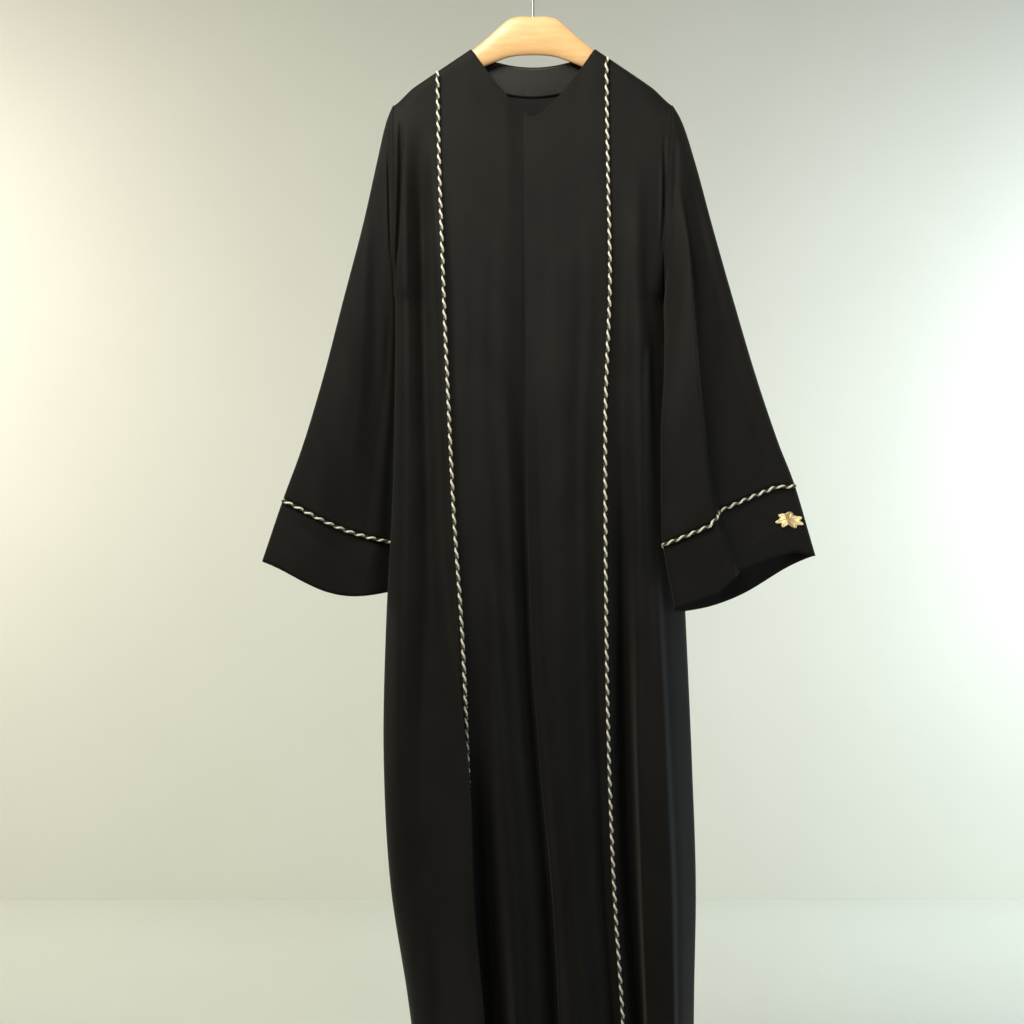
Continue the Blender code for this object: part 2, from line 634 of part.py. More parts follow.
def build_body(materials, collection):
    """Add the fronts, the back, the neck facing and the cords down the fronts."""
    left = panel_grid(left_front_points, LEFT_COLUMNS, front_x, front_top_drop)
    right = panel_grid(front_points, RIGHT_COLUMNS, front_x, front_top_drop)
    back = panel_grid(back_points, BACK_COLUMNS, back_x, back_top_drop)
    cloth = materials["cloth_black"]
    add_cloth("front_left", left, False, (0, -1, 0), CLOTH_WALL, cloth, collection)
    add_cloth("front_right", right, False, (0, -1, 0), CLOTH_WALL, cloth, collection)
    add_cloth("back", back, False, (0, 1, 0), CLOTH_WALL, cloth, collection)
    add_cloth("neck_facing", facing_grid(back), False, (0, 1, 0), FACING_WALL,
              materials["facing_black"], collection)
    for name, grid, column in (
            ("front_cord_left", left, LEFT_COLUMNS.index(LEFT_CORD_ACROSS)),
            ("front_cord_right", right, RIGHT_COLUMNS.index(RIGHT_CORD_ACROSS))):
        normals = grid_normals(grid, False, (0, -1, 0))
        line = cord_line(grid[CORD_FIRST_ROW:, column], normals[CORD_FIRST_ROW:, column],
                         FRONT_CORD_RADIUS)
        add_wire(name, line, FRONT_CORD_RADIUS, False, 2, materials["cord_twist"], collection)


def build_sleeve(side, table, folds, materials, collection):
    """Add one sleeve, its cuff and the cord over the seam between them; return the cuff's points."""
    sleeve = sleeve_grid(table, folds, SLEEVE_STATIONS)
    cuff = sleeve_grid(table, folds, CUFF_STATIONS)
    cloth = materials["cloth_black"]
    add_cloth(f"sleeve_{side}", sleeve, True, (0, -1, 0), CLOTH_WALL, cloth, collection)
    add_cloth(f"cuff_{side}", cuff, True, (0, -1, 0), CLOTH_WALL, cloth, collection)
    seam = sleeve_grid(table, folds, (CUFF_STATION - 0.03, CUFF_STATION, CUFF_STATION + 0.03))
    normals = grid_normals(seam, True, (0, -1, 0))
    line = cord_line(seam[1], normals[1], CUFF_CORD_RADIUS)
    add_wire(f"cuff_cord_{side}", line, CUFF_CORD_RADIUS, True, 2, materials["cord_twist"],
             collection)
    return cuff


def main():
    """Clear the scene and build the cloak and its hanger."""
    for piece in list(bpy.data.objects):
        bpy.data.objects.remove(piece, do_unlink=True)
    collection = bpy.data.collections.new(COLLECTION_NAME)
    bpy.context.scene.collection.children.link(collection)
    materials = {name: make_material(name) for name in MATERIALS}
    build_body(materials, collection)
    build_sleeve("left", LEFT_SLEEVE, LEFT_SLEEVE_FOLDS, materials, collection)
    right_cuff = build_sleeve("right", RIGHT_SLEEVE, RIGHT_SLEEVE_FOLDS, materials, collection)
    add_ornament("cuff_ornament", right_cuff, materials["gold_trim"], collection)
    add_bar("hanger_bar", materials["hanger_wood"], collection)
    add_hook("hanger_hook", materials["hook_wire"], collection)
    for material in materials.values():
        bpy.data.materials.remove(material)


main()
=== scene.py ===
"""Dresses the abaya cloak: black crepe, twisted cords, a leaf ornament and a wooden hanger.

Metres, +Z up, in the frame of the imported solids. The front faces -Y and +X is the viewer's right, so
"left" and "right" are the viewer's. Heights are a drop: metres below the inside top of the hook.
"""
import logging
import math
from dataclasses import dataclass
from enum import Enum

import bmesh
import bpy
import numpy as np
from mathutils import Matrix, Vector


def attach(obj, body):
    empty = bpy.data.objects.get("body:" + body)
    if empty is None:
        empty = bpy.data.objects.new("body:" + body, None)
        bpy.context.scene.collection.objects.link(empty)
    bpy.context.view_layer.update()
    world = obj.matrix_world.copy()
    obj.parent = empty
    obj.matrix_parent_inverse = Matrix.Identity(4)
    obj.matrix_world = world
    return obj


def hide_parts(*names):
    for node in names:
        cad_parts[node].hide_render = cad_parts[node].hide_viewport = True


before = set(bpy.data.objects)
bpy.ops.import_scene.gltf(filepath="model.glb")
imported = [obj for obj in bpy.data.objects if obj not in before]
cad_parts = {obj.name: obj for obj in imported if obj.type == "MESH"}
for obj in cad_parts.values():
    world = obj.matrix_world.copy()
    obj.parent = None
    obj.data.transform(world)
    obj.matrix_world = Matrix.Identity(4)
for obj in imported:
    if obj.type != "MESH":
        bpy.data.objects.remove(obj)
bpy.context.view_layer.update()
LOG = logging.getLogger("abaya_cloak")

# Thicknesses of the cloth and the gap that parts two pieces at a seam.
SHELL_WALL = 0.0009
FACING_WALL = 0.0007
SEAM_GAP = 0.0003
# The outline of the body, from the shoulder line down to the hem.
HEM_DROP = 1.588
NECK_HALF_WIDTH = 0.089
NECK_POINT_DROP = 0.122
FRONT_NECK_DEPTH = 0.100
BACK_NECK_DEPTH = 0.022
SHOULDER_TIP_X = 0.1985
SHOULDER_TIP_DROP = 0.196
UNDERARM_DROP = 0.480
SHOULDER_ROUNDING = 0.013
ARMHOLE_HALF_DEPTH = 0.024
TOP_READING_DROP = 0.16
SLEEVE_LENGTH = 0.69
# The left front passes under the right one: how deep, and from how far across.
UNDERLAP_DEPTH = 0.0045
UNDERLAP_START = -0.13
HEM_DEPTH = 0.024
TIP_ROUNDING = 0.006
TIP_ROUNDING_REACH = 0.036

Array = np.ndarray


class Side(Enum):
    """The two sides of the cloak, as the viewer sees them."""

    LEFT = "left"
    RIGHT = "right"

    @property
    def sign(self) -> float:
        """Return the sign of x on this side."""
        return -1.0 if self is Side.LEFT else 1.0


class Layer(Enum):
    """The layer of cloth that a crease lies on."""

    FRONT = -1.0
    BACK = 1.0


@dataclass(frozen=True)
class BodySection:
    """The body at one height: where its edges and cords run, and how deep it hangs."""

    drop: float
    left_side: float
    left_cord: float
    centre: float
    right_cord: float
    right_side: float
    front_depth: float
    back_depth: float


@dataclass(frozen=True)
class BodyFold:
    """A long fold down a body panel, a ridge where `out` is above zero and a valley below."""

    across_top: float
    across_hem: float
    half_width: float
    out_top: float
    out_hem: float
    lean: float
    start_drop: float
    full_drop: float
    fade_drop: float = 2.0
    end_drop: float = 2.1


@dataclass(frozen=True)
class SleeveSection:
    """The sleeve at one station: its outer and inner folds, and half its depth between them."""

    station: float
    outer_x: float
    outer_y: float
    outer_drop: float
    inner_x: float
    inner_y: float
    inner_drop: float
    half_depth: float


@dataclass(frozen=True)
class SleeveFold:
    """A fold along the sleeve: how far its crest stands out, and how far the cloth sags."""

    layer: Layer
    around: float
    half_width: float
    out: float
    sag: float
    start: float
    full: float


@dataclass(frozen=True)
class SleevePleat:
    """A long crest down the sleeve's front, which falls fast on its outer side and slowly inward.

    `stations` and `around` say where the crest runs, `width` how wide the quick fall is, `crest`
    and `trough` how far the two sides stand out and in, and `lift_cord` and `lift_hem` how much
    higher the cloth hangs beside the crest.
    """

    stations: tuple[float, ...]
    around: tuple[float, ...]
    width: float
    crest: float
    trough: float
    lift_cord: float
    lift_hem: float


@dataclass(frozen=True)
class Crease:
    """A soft crease between two places on the cloth, bowed sideways and tapered to its ends."""

    layer: Layer
    x_top: float
    drop_top: float
    x_low: float
    drop_low: float
    bow: float
    half_width: float
    out: float


# Each table below goes down the cloak, or from the viewer's left to right across it.
BODY_SECTIONS = (
    BodySection(0.12, -0.1985, -0.1360, -0.0130, 0.1040, 0.2010, 0.013, 0.013),
    BodySection(0.20, -0.1985, -0.1350, -0.0130, 0.1045, 0.1980, 0.016, 0.016),
    BodySection(0.30, -0.1980, -0.1325, -0.0125, 0.1055, 0.1915, 0.025, 0.024),
    BodySection(0.48, -0.1972, -0.1258, -0.0118, 0.1070, 0.1875, 0.0360, 0.0340),
    BodySection(0.515, -0.1972, -0.1244, -0.0115, 0.1058, 0.1925, 0.0377, 0.0354),
    BodySection(0.55, -0.1972, -0.1230, -0.0112, 0.1045, 0.1965, 0.0390, 0.0365),
    BodySection(0.62, -0.1978, -0.1200, -0.0105, 0.1020, 0.2015, 0.042, 0.039),
    BodySection(0.77, -0.2015, -0.1127, -0.0085, 0.1015, 0.2110, 0.048, 0.045),
    BodySection(0.94, -0.2105, -0.1015, -0.0040, 0.1030, 0.2188, 0.054, 0.051),
    BodySection(1.14, -0.2140, -0.0950, 0.0090, 0.1070, 0.2275, 0.060, 0.058),
    BodySection(1.32, -0.2035, -0.0895, 0.0260, 0.1140, 0.2330, 0.066, 0.064),
    BodySection(1.47, -0.1800, -0.0785, 0.0345, 0.1242, 0.2303, 0.071, 0.070),
    BodySection(1.60, -0.1630, -0.0680, 0.0400, 0.1310, 0.2290, 0.074, 0.075),
)
# The lines of a body section and where they lie across it, from one side seam to the other.
SECTION_LINES = ("left_side", "left_cord", "centre", "right_cord", "right_side")
SECTION_FRACTIONS = (-1.0, -0.6, 0.0, 0.55, 1.0)
CORD_ACROSS = {Side.LEFT: -0.6, Side.RIGHT: 0.55}
# Columns that a panel must have: beside the side seams and at the ends of the neckline.
EXACT_COLUMNS = (-1.0, -0.996, -0.982, -0.445, -0.425, 0.42, 0.43, 0.982, 0.996, 1.0)
# Rows that it must have: metres below the shoulder, and metres from the top of the turned hem.
TOP_ROWS = (0.0008, 0.0018, 0.003, 0.005, 0.007, 0.010, 0.014)
HEM_ROWS = (-0.002, -0.001, 0.001, 0.002, 0.003, 0.004, 0.006)

FRONT_FOLDS = (
    BodyFold(-0.920, -0.920, 0.070, 0.004, 0.008, 0.000, 0.24, 0.45, 1.00, 1.30),
    BodyFold(-0.765, -0.775, 0.125, -0.024, -0.020, 0.000, 0.22, 0.40, 0.95, 1.30),
    BodyFold(-0.620, -0.610, 0.090, 0.006, 0.008, 0.000, 0.25, 0.45, 0.95, 1.20),
    BodyFold(-0.715, -0.700, 0.120, 0.034, 0.042, 0.034, 0.83, 1.22),
    BodyFold(-0.490, -0.475, 0.150, -0.004, -0.034, 0.000, 0.70, 1.20),
    BodyFold(-0.310, -0.300, 0.120, 0.004, 0.014, 0.000, 0.50, 1.10),
    BodyFold(-0.030, -0.020, 0.130, -0.010, -0.032, 0.000, 0.40, 0.80),
    BodyFold(0.200, 0.220, 0.170, 0.006, 0.014, 0.000, 0.35, 0.70),
    BodyFold(0.490, 0.480, 0.090, -0.008, -0.013, 0.000, 0.40, 0.80),
    BodyFold(0.640, 0.655, 0.095, -0.008, -0.040, 0.000, 0.30, 1.05),
    BodyFold(0.750, 0.775, 0.110, 0.014, 0.006, 0.000, 0.26, 0.60),
    BodyFold(0.750, 0.765, 0.085, 0.000, 0.000, -0.012, 0.80, 1.15),
    BodyFold(0.838, 0.855, 0.150, 0.010, 0.028, 0.000, 0.75, 1.05),
    BodyFold(0.835, 0.835, 0.045, 0.007, 0.013, 0.000, 0.82, 0.98),
)
BACK_FOLDS = (
    BodyFold(-0.880, -0.880, 0.090, 0.006, 0.012, 0.000, 0.30, 0.60),
    BodyFold(-0.700, -0.720, 0.110, -0.010, -0.022, 0.000, 0.28, 0.70),
    BodyFold(-0.520, -0.560, 0.120, 0.010, 0.022, 0.012, 0.30, 0.90),
    BodyFold(-0.280, -0.320, 0.130, -0.006, -0.020, 0.000, 0.55, 1.05),
    BodyFold(-0.060, -0.090, 0.130, 0.008, 0.016, 0.000, 0.45, 0.95),
    BodyFold(0.150, 0.160, 0.120, -0.008, -0.018, 0.000, 0.38, 0.85),
    BodyFold(0.370, 0.390, 0.130, 0.009, 0.020, -0.010, 0.32, 0.80),
    BodyFold(0.590, 0.610, 0.110, -0.010, -0.022, 0.000, 0.28, 0.75),
    BodyFold(0.790, 0.800, 0.100, 0.010, 0.017, 0.000, 0.30, 0.65),
)
BODY_CREASES = (
    Crease(Layer.FRONT, -0.1870, 0.230, -0.1955, 0.470, 0.002, 0.0045, -0.0080),
    Crease(Layer.FRONT, -0.1930, 0.220, -0.1965, 0.420, 0.001, 0.0040, 0.0035),
    Crease(Layer.FRONT, 0.1860, 0.250, 0.1820, 0.420, 0.001, 0.0040, -0.0050),
    Crease(Layer.FRONT, 0.1815, 0.280, 0.1800, 0.400, 0.001, 0.0040, 0.0025),
    Crease(Layer.FRONT, -0.1550, 0.240, -0.1480, 0.620, 0.004, 0.0140, -0.0025),
    Crease(Layer.FRONT, 0.0450, 0.420, 0.0600, 1.150, -0.006, 0.0180, 0.0022),
    Crease(Layer.FRONT, -0.0600, 0.500, -0.0380, 1.300, 0.005, 0.0160, -0.0020),
    Crease(Layer.FRONT, 0.1480, 0.300, 0.1500, 0.900, 0.003, 0.0120, 0.0020),
    Crease(Layer.BACK, -0.1700, 0.260, -0.1500, 0.700, 0.006, 0.0130, -0.0028),
    Crease(Layer.BACK, 0.1720, 0.260, 0.1560, 0.660, -0.005, 0.0130, -0.0028),
    Crease(Layer.BACK, -0.0900, 0.420, -0.1050, 1.200, 0.008, 0.0170, 0.0025),
    Crease(Layer.BACK, 0.0500, 0.380, 0.0700, 1.100, -0.007, 0.0180, -0.0025),
)

LEFT_SLEEVE = (
    SleeveSection(0.00, -0.2010, 0.000, 0.196, -0.1970, 0.000, 0.480, 0.024),
    SleeveSection(0.05, -0.2115, 0.000, 0.232, -0.1945, 0.011, 0.496, 0.025),
    SleeveSection(0.13, -0.2220, 0.000, 0.278, -0.1935, 0.018, 0.528, 0.026),
    SleeveSection(0.28, -0.2430, 0.000, 0.372, -0.1910, 0.036, 0.592, 0.027),
    SleeveSection(0.45, -0.2710, -0.002, 0.480, -0.1890, 0.043, 0.655, 0.027),
    SleeveSection(0.63, -0.3020, -0.004, 0.600, -0.1910, 0.043, 0.725, 0.026),
    SleeveSection(0.76, -0.3290, -0.006, 0.690, -0.1920, 0.043, 0.778, 0.025),
    SleeveSection(0.88, -0.3565, -0.008, 0.766, -0.1940, 0.042, 0.829, 0.024),
    SleeveSection(1.00, -0.3860, -0.008, 0.853, -0.1970, 0.041, 0.893, 0.023),
)
RIGHT_SLEEVE = (
    SleeveSection(0.00, 0.2010, 0.000, 0.196, 0.1865, 0.000, 0.480, 0.024),
    SleeveSection(0.05, 0.2155, 0.000, 0.232, 0.1855, -0.012, 0.496, 0.025),
    SleeveSection(0.13, 0.2305, -0.001, 0.280, 0.1860, -0.020, 0.528, 0.026),
    SleeveSection(0.28, 0.2550, -0.004, 0.372, 0.1830, -0.043, 0.592, 0.027),
    SleeveSection(0.45, 0.2855, -0.008, 0.482, 0.1775, -0.060, 0.655, 0.027),
    SleeveSection(0.63, 0.3210, -0.010, 0.602, 0.1770, -0.060, 0.725, 0.026),
    SleeveSection(0.76, 0.3485, -0.012, 0.684, 0.1775, -0.060, 0.778, 0.025),
    SleeveSection(0.88, 0.3720, -0.014, 0.746, 0.1800, -0.060, 0.829, 0.024),
    SleeveSection(1.00, 0.4010, -0.014, 0.845, 0.1975, -0.058, 0.919, 0.023),
)
LEFT_SLEEVE_FOLDS = (
    SleeveFold(Layer.FRONT, 0.55, 0.62, 0.000, 0.008, 0.30, 0.88),
    SleeveFold(Layer.FRONT, 0.60, 0.70, 0.000, 0.018, 0.86, 1.00),
    SleeveFold(Layer.BACK, 0.50, 0.50, 0.000, 0.012, 0.30, 0.90),
    SleeveFold(Layer.FRONT, 0.30, 0.22, 0.003, 0.000, 0.20, 0.60),
    SleeveFold(Layer.FRONT, 0.62, 0.20, -0.003, 0.000, 0.10, 0.60),
    SleeveFold(Layer.FRONT, 0.84, 0.16, 0.006, 0.000, 0.10, 0.40),
    SleeveFold(Layer.BACK, 0.40, 0.24, -0.010, 0.000, 0.20, 0.60),
)
RIGHT_SLEEVE_FOLDS = (
    SleeveFold(Layer.BACK, 0.66, 0.66, 0.000, 0.018, 0.30, 1.00),
    SleeveFold(Layer.BACK, 0.45, 0.26, -0.009, 0.000, 0.20, 0.60),
)
RIGHT_SLEEVE_PLEATS = (
    SleevePleat((0.05, 0.20, 0.34, 0.49, 0.65, 0.80, 0.90, 1.00),
                (0.35, 0.42, 0.50, 0.56, 0.60, 0.63, 0.63, 0.60),
                0.05, 0.015, 0.014, 0.0130, 0.0190),
)
LEFT_SLEEVE_CREASES = (
    Crease(Layer.FRONT, -0.2055, 0.240, -0.2020, 0.420, -0.001, 0.0035, -0.0060),
    Crease(Layer.FRONT, -0.2190, 0.300, -0.2330, 0.640, 0.000, 0.0170, -0.0060),
    Crease(Layer.BACK, -0.2100, 0.270, -0.2020, 0.430, -0.001, 0.0060, -0.0040),
    Crease(Layer.FRONT, -0.2300, 0.420, -0.2600, 0.740, 0.006, 0.0130, 0.0020),
    Crease(Layer.BACK, -0.2250, 0.400, -0.2500, 0.720, 0.006, 0.0130, -0.0022),
    Crease(Layer.FRONT, -0.3420, 0.800, -0.2600, 0.860, 0.005, 0.0100, -0.0015),
)
RIGHT_SLEEVE_CREASES = (
    Crease(Layer.FRONT, 0.2030, 0.250, 0.1940, 0.400, 0.001, 0.0035, -0.0040),
    Crease(Layer.BACK, 0.2100, 0.270, 0.2000, 0.430, 0.001, 0.0060, -0.0040),
    Crease(Layer.BACK, 0.2400, 0.400, 0.2850, 0.720, 0.006, 0.0130, -0.0022),
    Crease(Layer.FRONT, 0.3150, 0.790, 0.3720, 0.830, 0.006, 0.0090, -0.0025),
    Crease(Layer.FRONT, 0.3000, 0.840, 0.3600, 0.800, 0.004, 0.0080, 0.0015),
)
# Where along the sleeve the cuff is joined to it.
CUFF_STATION = 0.88


def smooth_curve(knots: tuple | list, values: tuple | list, at: Array) -> Array:
    """Run a smooth curve through known values.

    Args:
        knots: Rising places at which the values are known.
        values: The value at each knot.
        at: The places to read the curve at.

    Returns:
        The curve's value at each place.
    """
    knots, values = np.asarray(knots, dtype=float), np.asarray(values, dtype=float)
    slopes = np.gradient(values, knots)
    at = np.clip(at, knots[0], knots[-1])
    index = np.clip(np.searchsorted(knots, at, side="right") - 1, 0, len(knots) - 2)
    span = knots[index + 1] - knots[index]
    part = (at - knots[index]) / span
    return ((1 + 2 * part) * (1 - part) ** 2 * values[index]
            + part * (1 - part) ** 2 * span * slopes[index]
            + part ** 2 * (3 - 2 * part) * values[index + 1]
            + part ** 2 * (part - 1) * span * slopes[index + 1])


def bell(distance: Array) -> Array:
    """Return a smooth bump: 1 at distance 0 and nothing from distance 1 on."""
    return np.cos(np.clip(np.abs(distance), 0.0, 1.0) * np.pi / 2) ** 2


def ramp(value: Array, start: float, full: float) -> Array:
    """Return a smooth rise from 0 at `start` to 1 at `full`."""
    part = np.clip((value - start) / (full - start), 0.0, 1.0)
    return part * part * (3 - 2 * part)


def table_column(table: tuple, name: str) -> list[float]:
    """Return one named column of a table of sections."""
    return [getattr(row, name) for row in table]


def spread(first: float, last: float, step: float, extra: tuple[float, ...] = ()) -> Array:
    """Space numbers evenly, with some exact ones among them.

    Args:
        first: The first number.
        last: The last number.
        step: The widest space between two numbers.
        extra: Numbers that must be there.

    Returns:
        The rising numbers. Even ones that lie within three tenths of a step of an exact one go.
    """
    even = np.linspace(first, last, int(math.ceil((last - first) / step)) + 1)
    kept = [number for number in even if all(abs(number - other) > step * 0.3 for other in extra)]
    inside = [number for number in extra if first <= number <= last]
    return np.array(sorted(set(kept) | set(inside) | {first, last}))


def ripple(across: Array, down: Array, width: float, height: float, seed: int) -> Array:
    """Return the small uneven waves of hanging cloth, mostly upright.

    Args:
        across: Place across the cloth, in metres.
        down: Place down the cloth, in metres.
        width: Usual distance between two crests, in metres.
        height: Usual height of a crest, in metres.
        seed: Number that fixes the waves.

    Returns:
        How far each place stands out.
    """
    chance = np.random.default_rng(seed)
    total = np.zeros(np.broadcast(across, down).shape)
    for _ in range(6):
        wave = 2 * np.pi / (width * chance.uniform(0.7, 1.8))
        wander = chance.uniform(0.4, 1.4) * np.sin(down * chance.uniform(3.0, 8.0)
                                                   + chance.uniform(0.0, 6.3))
        swell = 0.6 + 0.4 * np.sin(down * chance.uniform(4.0, 11.0) + chance.uniform(0.0, 6.3))
        total = total + np.sin(across * wave + chance.uniform(0.0, 6.3) + wander) * swell
    return total * height / 2.4


def crease_offset(creases: tuple[Crease, ...], layer: Layer, x: Array, drop: Array) -> Array:
    """Return how far the creases of one layer move the cloth out of its surface.

    Args:
        creases: The creases to lay.
        layer: The layer of cloth that the points lie on.
        x: Each point's x.
        drop: Each point's drop.

    Returns:
        The distance out, below zero in a trough.
    """
    total = np.zeros(np.broadcast(x, drop).shape)
    for crease in creases:
        if crease.layer is not layer:
            continue
        run_x, run_drop = crease.x_low - crease.x_top, crease.drop_low - crease.drop_top
        length = math.hypot(run_x, run_drop)
        along = ((x - crease.x_top) * run_x + (drop - crease.drop_top) * run_drop) / length ** 2
        aside = ((x - crease.x_top) * run_drop - (drop - crease.drop_top) * run_x) / length
        taper = np.sin(np.pi * np.clip(along, 0.0, 1.0))
        total = total + crease.out * taper ** 0.7 * bell(
            (aside - crease.bow * taper) / crease.half_width)
    return total


def hem_relief(height: Array) -> Array:
    """Return the relief of a turned and stitched hem at each height above the edge."""
    turned = 0.0002 * (1 - ramp(height, HEM_DEPTH - 0.002, HEM_DEPTH + 0.002))
    return turned - 0.0002 * bell((height - HEM_DEPTH + 0.003) / 0.0030)


def tip_rounding(x: Array, drop: Array) -> Array:
    """Return how much lower the cloth hangs at the tips of the shoulders, where no bar holds it."""
    away = np.hypot(np.abs(x) - SHOULDER_TIP_X, drop - SHOULDER_TIP_DROP)
    return TIP_ROUNDING * bell(away / TIP_ROUNDING_REACH)


def grid_normals(grid: Array, closed: bool, outward: tuple[float, float, float]) -> Array:
    """Return unit normals of a grid of points.

    Args:
        grid: Rows and columns of points.
        closed: Whether each row runs round and meets itself.
        outward: Roughly the way that the normals point, in the middle of the grid.

    Returns:
        A normal for each point.
    """
    if closed:
        along_ring = np.roll(grid, -1, axis=1) - np.roll(grid, 1, axis=1)
    else:
        along_ring = np.gradient(grid, axis=1)
    normals = np.cross(np.gradient(grid, axis=0), along_ring)
    normals /= np.maximum(np.linalg.norm(normals, axis=-1, keepdims=True), 1e-12)
    row, column = grid.shape[0] // 2, grid.shape[1] // 4
    return -normals if np.dot(normals[row, column], outward) < 0 else normals


@dataclass(frozen=True)
class BodyShape:
    """How the body hangs: it gives the places that the panels and everything on them lie on."""

    sections: tuple[BodySection, ...] = BODY_SECTIONS
    front_folds: tuple[BodyFold, ...] = FRONT_FOLDS
    back_folds: tuple[BodyFold, ...] = BACK_FOLDS
    creases: tuple[Crease, ...] = BODY_CREASES
    side_turn_across: float = 0.996
    shoulder_turn: float = 0.0008
    ripple_width: float = 0.030
    ripple_height: float = 0.0005

    def value(self, name: str, drop: Array) -> Array:
        """Return a named size of the body at each drop."""
        return smooth_curve(table_column(self.sections, "drop"),
                            table_column(self.sections, name), drop)

    def front_x(self, across: Array, drop: Array) -> Array:
        """Return x across the front, from the five lines of each section.

        Args:
            across: Fraction across the front, -1 and 1 at the side seams.
            drop: Drop of each point.

        Returns:
            The x of each point.
        """
        total = 0.0
        for index, line in enumerate(SECTION_LINES):
            weights = [1.0 if other == index else 0.0 for other in range(len(SECTION_LINES))]
            total = total + smooth_curve(SECTION_FRACTIONS, weights, across) * self.value(line, drop)
        return total

    def back_x(self, across: Array, drop: Array) -> Array:
        """Return x at a fraction across the back, which shares the front's side edges."""
        left, right = self.value("left_side", drop), self.value("right_side", drop)
        return left + (right - left) * (across + 1) / 2

    @staticmethod
    def shoulder_drop(x: Array) -> Array:
        """Return how far down the shoulder line is at x; level over the neck."""
        return np.interp(np.abs(x), (NECK_HALF_WIDTH, SHOULDER_TIP_X),
                         (NECK_POINT_DROP, SHOULDER_TIP_DROP))

    def top_drop(self, x: Array, layer: Layer) -> Array:
        """Return how far down a panel's top edge is: the shoulder seams and the neckline.

        Args:
            x: Places across the body.
            layer: The front or the back.

        Returns:
            The drop of the edge at each place.
        """
        inside = np.clip(np.abs(x) / NECK_HALF_WIDTH, 0.0, 1.0)
        if layer is Layer.FRONT:
            return self.shoulder_drop(x) + FRONT_NECK_DEPTH * (1 - inside ** 1.35)
        return self.shoulder_drop(x) + BACK_NECK_DEPTH * (1 - inside ** 2)

    @staticmethod
    def fold_offsets(folds: tuple[BodyFold, ...], across: Array, drop: Array) -> tuple[Array, Array]:
        """Return how far the folds move the cloth out of its panel and sideways.

        Args:
            folds: The folds of the panel.
            across: Fraction across the panel.
            drop: Drop of each point.

        Returns:
            The distance out and the distance sideways, in metres.
        """
        out, aside = np.zeros_like(drop), np.zeros_like(drop)
        for number, fold in enumerate(folds):
            grown = ramp(drop, fold.start_drop, fold.full_drop)
            grown = grown * (1 - ramp(drop, fold.fade_drop, fold.end_drop))
            down = np.clip((drop - fold.start_drop) / (HEM_DROP - fold.start_drop), 0.0, 1.0)
            middle = fold.across_top + (fold.across_hem - fold.across_top) * down
            middle = middle + 0.005 * np.sin(drop * 7.0 + number * 2.3)
            uneven = 1 + 0.10 * np.sin(drop * 5.5 + number * 1.7)
            shape = bell((across - middle) / fold.half_width) * grown
            out = out + shape * uneven * (fold.out_top + (fold.out_hem - fold.out_top) * down)
            aside = aside + shape * fold.lean
        return out, aside

    def depth(self, across: Array, drop: Array, x: Array, depth_name: str) -> Array:
        """Return how far the panel stands from the middle plane, before its folds.

        Args:
            across: Fraction across the panel.
            drop: Drop of each point.
            x: The x of each point.
            depth_name: The depth to read from the sections, the front's or the back's.

        Returns:
            The distance from the middle plane.
        """
        shoulder = self.shoulder_drop(x)
        below = np.clip((drop - shoulder) / SHOULDER_ROUNDING, 0.0, 1.0)
        full = self.value(depth_name, drop) * np.sqrt(1 - (1 - below) ** 2)
        down = np.clip((drop - shoulder) / (UNDERARM_DROP - shoulder), 0.0, 1.0)
        edge = ARMHOLE_HALF_DEPTH * 2 * np.sqrt(down * (1 - down))
        rounded = np.sqrt(np.clip(1 - across ** 4, 0.0, 1.0))
        level = 1 - ramp(np.abs(across), 0.76, 0.98)
        open_edge = 1 - ramp(drop, 0.36, 0.47)
        return edge + (full - edge) * (rounded + (level - rounded) * open_edge)

    def points(self, across: Array, drop: Array, layer: Layer, under: bool = False) -> Array:
        """Return points of a panel's outer face.

        Args:
            across: Fraction across the panel, -1 and 1 at the side seams.
            drop: Drop of each point.
            layer: The front or the back.
            under: Whether the front passes under the other one at the centre.

        Returns:
            The points, one for each fraction and drop.
        """
        front = layer is Layer.FRONT
        x_of = self.front_x if front else self.back_x
        turned = np.clip(across, -self.side_turn_across, self.side_turn_across)
        x = x_of(np.where(drop < UNDERARM_DROP - SEAM_GAP, across, turned), drop)
        level = np.maximum(drop, self.shoulder_drop(x) + self.shoulder_turn)
        z = -level - tip_rounding(x, level)
        folds = self.front_folds if front else self.back_folds
        out, aside = self.fold_offsets(folds, across, drop)
        out = out + crease_offset(self.creases, layer, x, drop) + hem_relief(HEM_DROP - drop)
        calm = (1 - across ** 6) * ramp(drop, 0.24, 0.60)
        out = out + calm * ripple(x, drop, self.ripple_width, self.ripple_height, 11 if front else 12)
        stand = SEAM_GAP / 2 + self.depth(across, drop, x, "front_depth" if front else "back_depth")
        if under:
            stand = stand - UNDERLAP_DEPTH * ramp(across, UNDERLAP_START, 0.0)
        return np.stack((x + aside, (stand + out) * layer.value, z), axis=-1)

    def line(self, across: float, first: float, last: float, step: float,
             under: bool = False) -> tuple[Array, Array]:
        """Return a line down the front, with the cloth's normal at each point of it.

        Args:
            across: Fraction across the front.
            first: Drop at the line's top.
            last: Drop at its lower end.
            step: Widest space between two points.
            under: Whether the front passes under the other one at the centre.

        Returns:
            The points and the normals.
        """
        drop = spread(first, last, step)[:, None]
        columns = across + np.array((-0.012, 0.0, 0.012))[None, :]
        grid = self.points(np.broadcast_to(columns, (len(drop), 3)),
                           np.broadcast_to(drop, (len(drop), 3)), Layer.FRONT, under)
        return grid[:, 1], grid_normals(grid, False, (0.0, -1.0, 0.0))[:, 1]


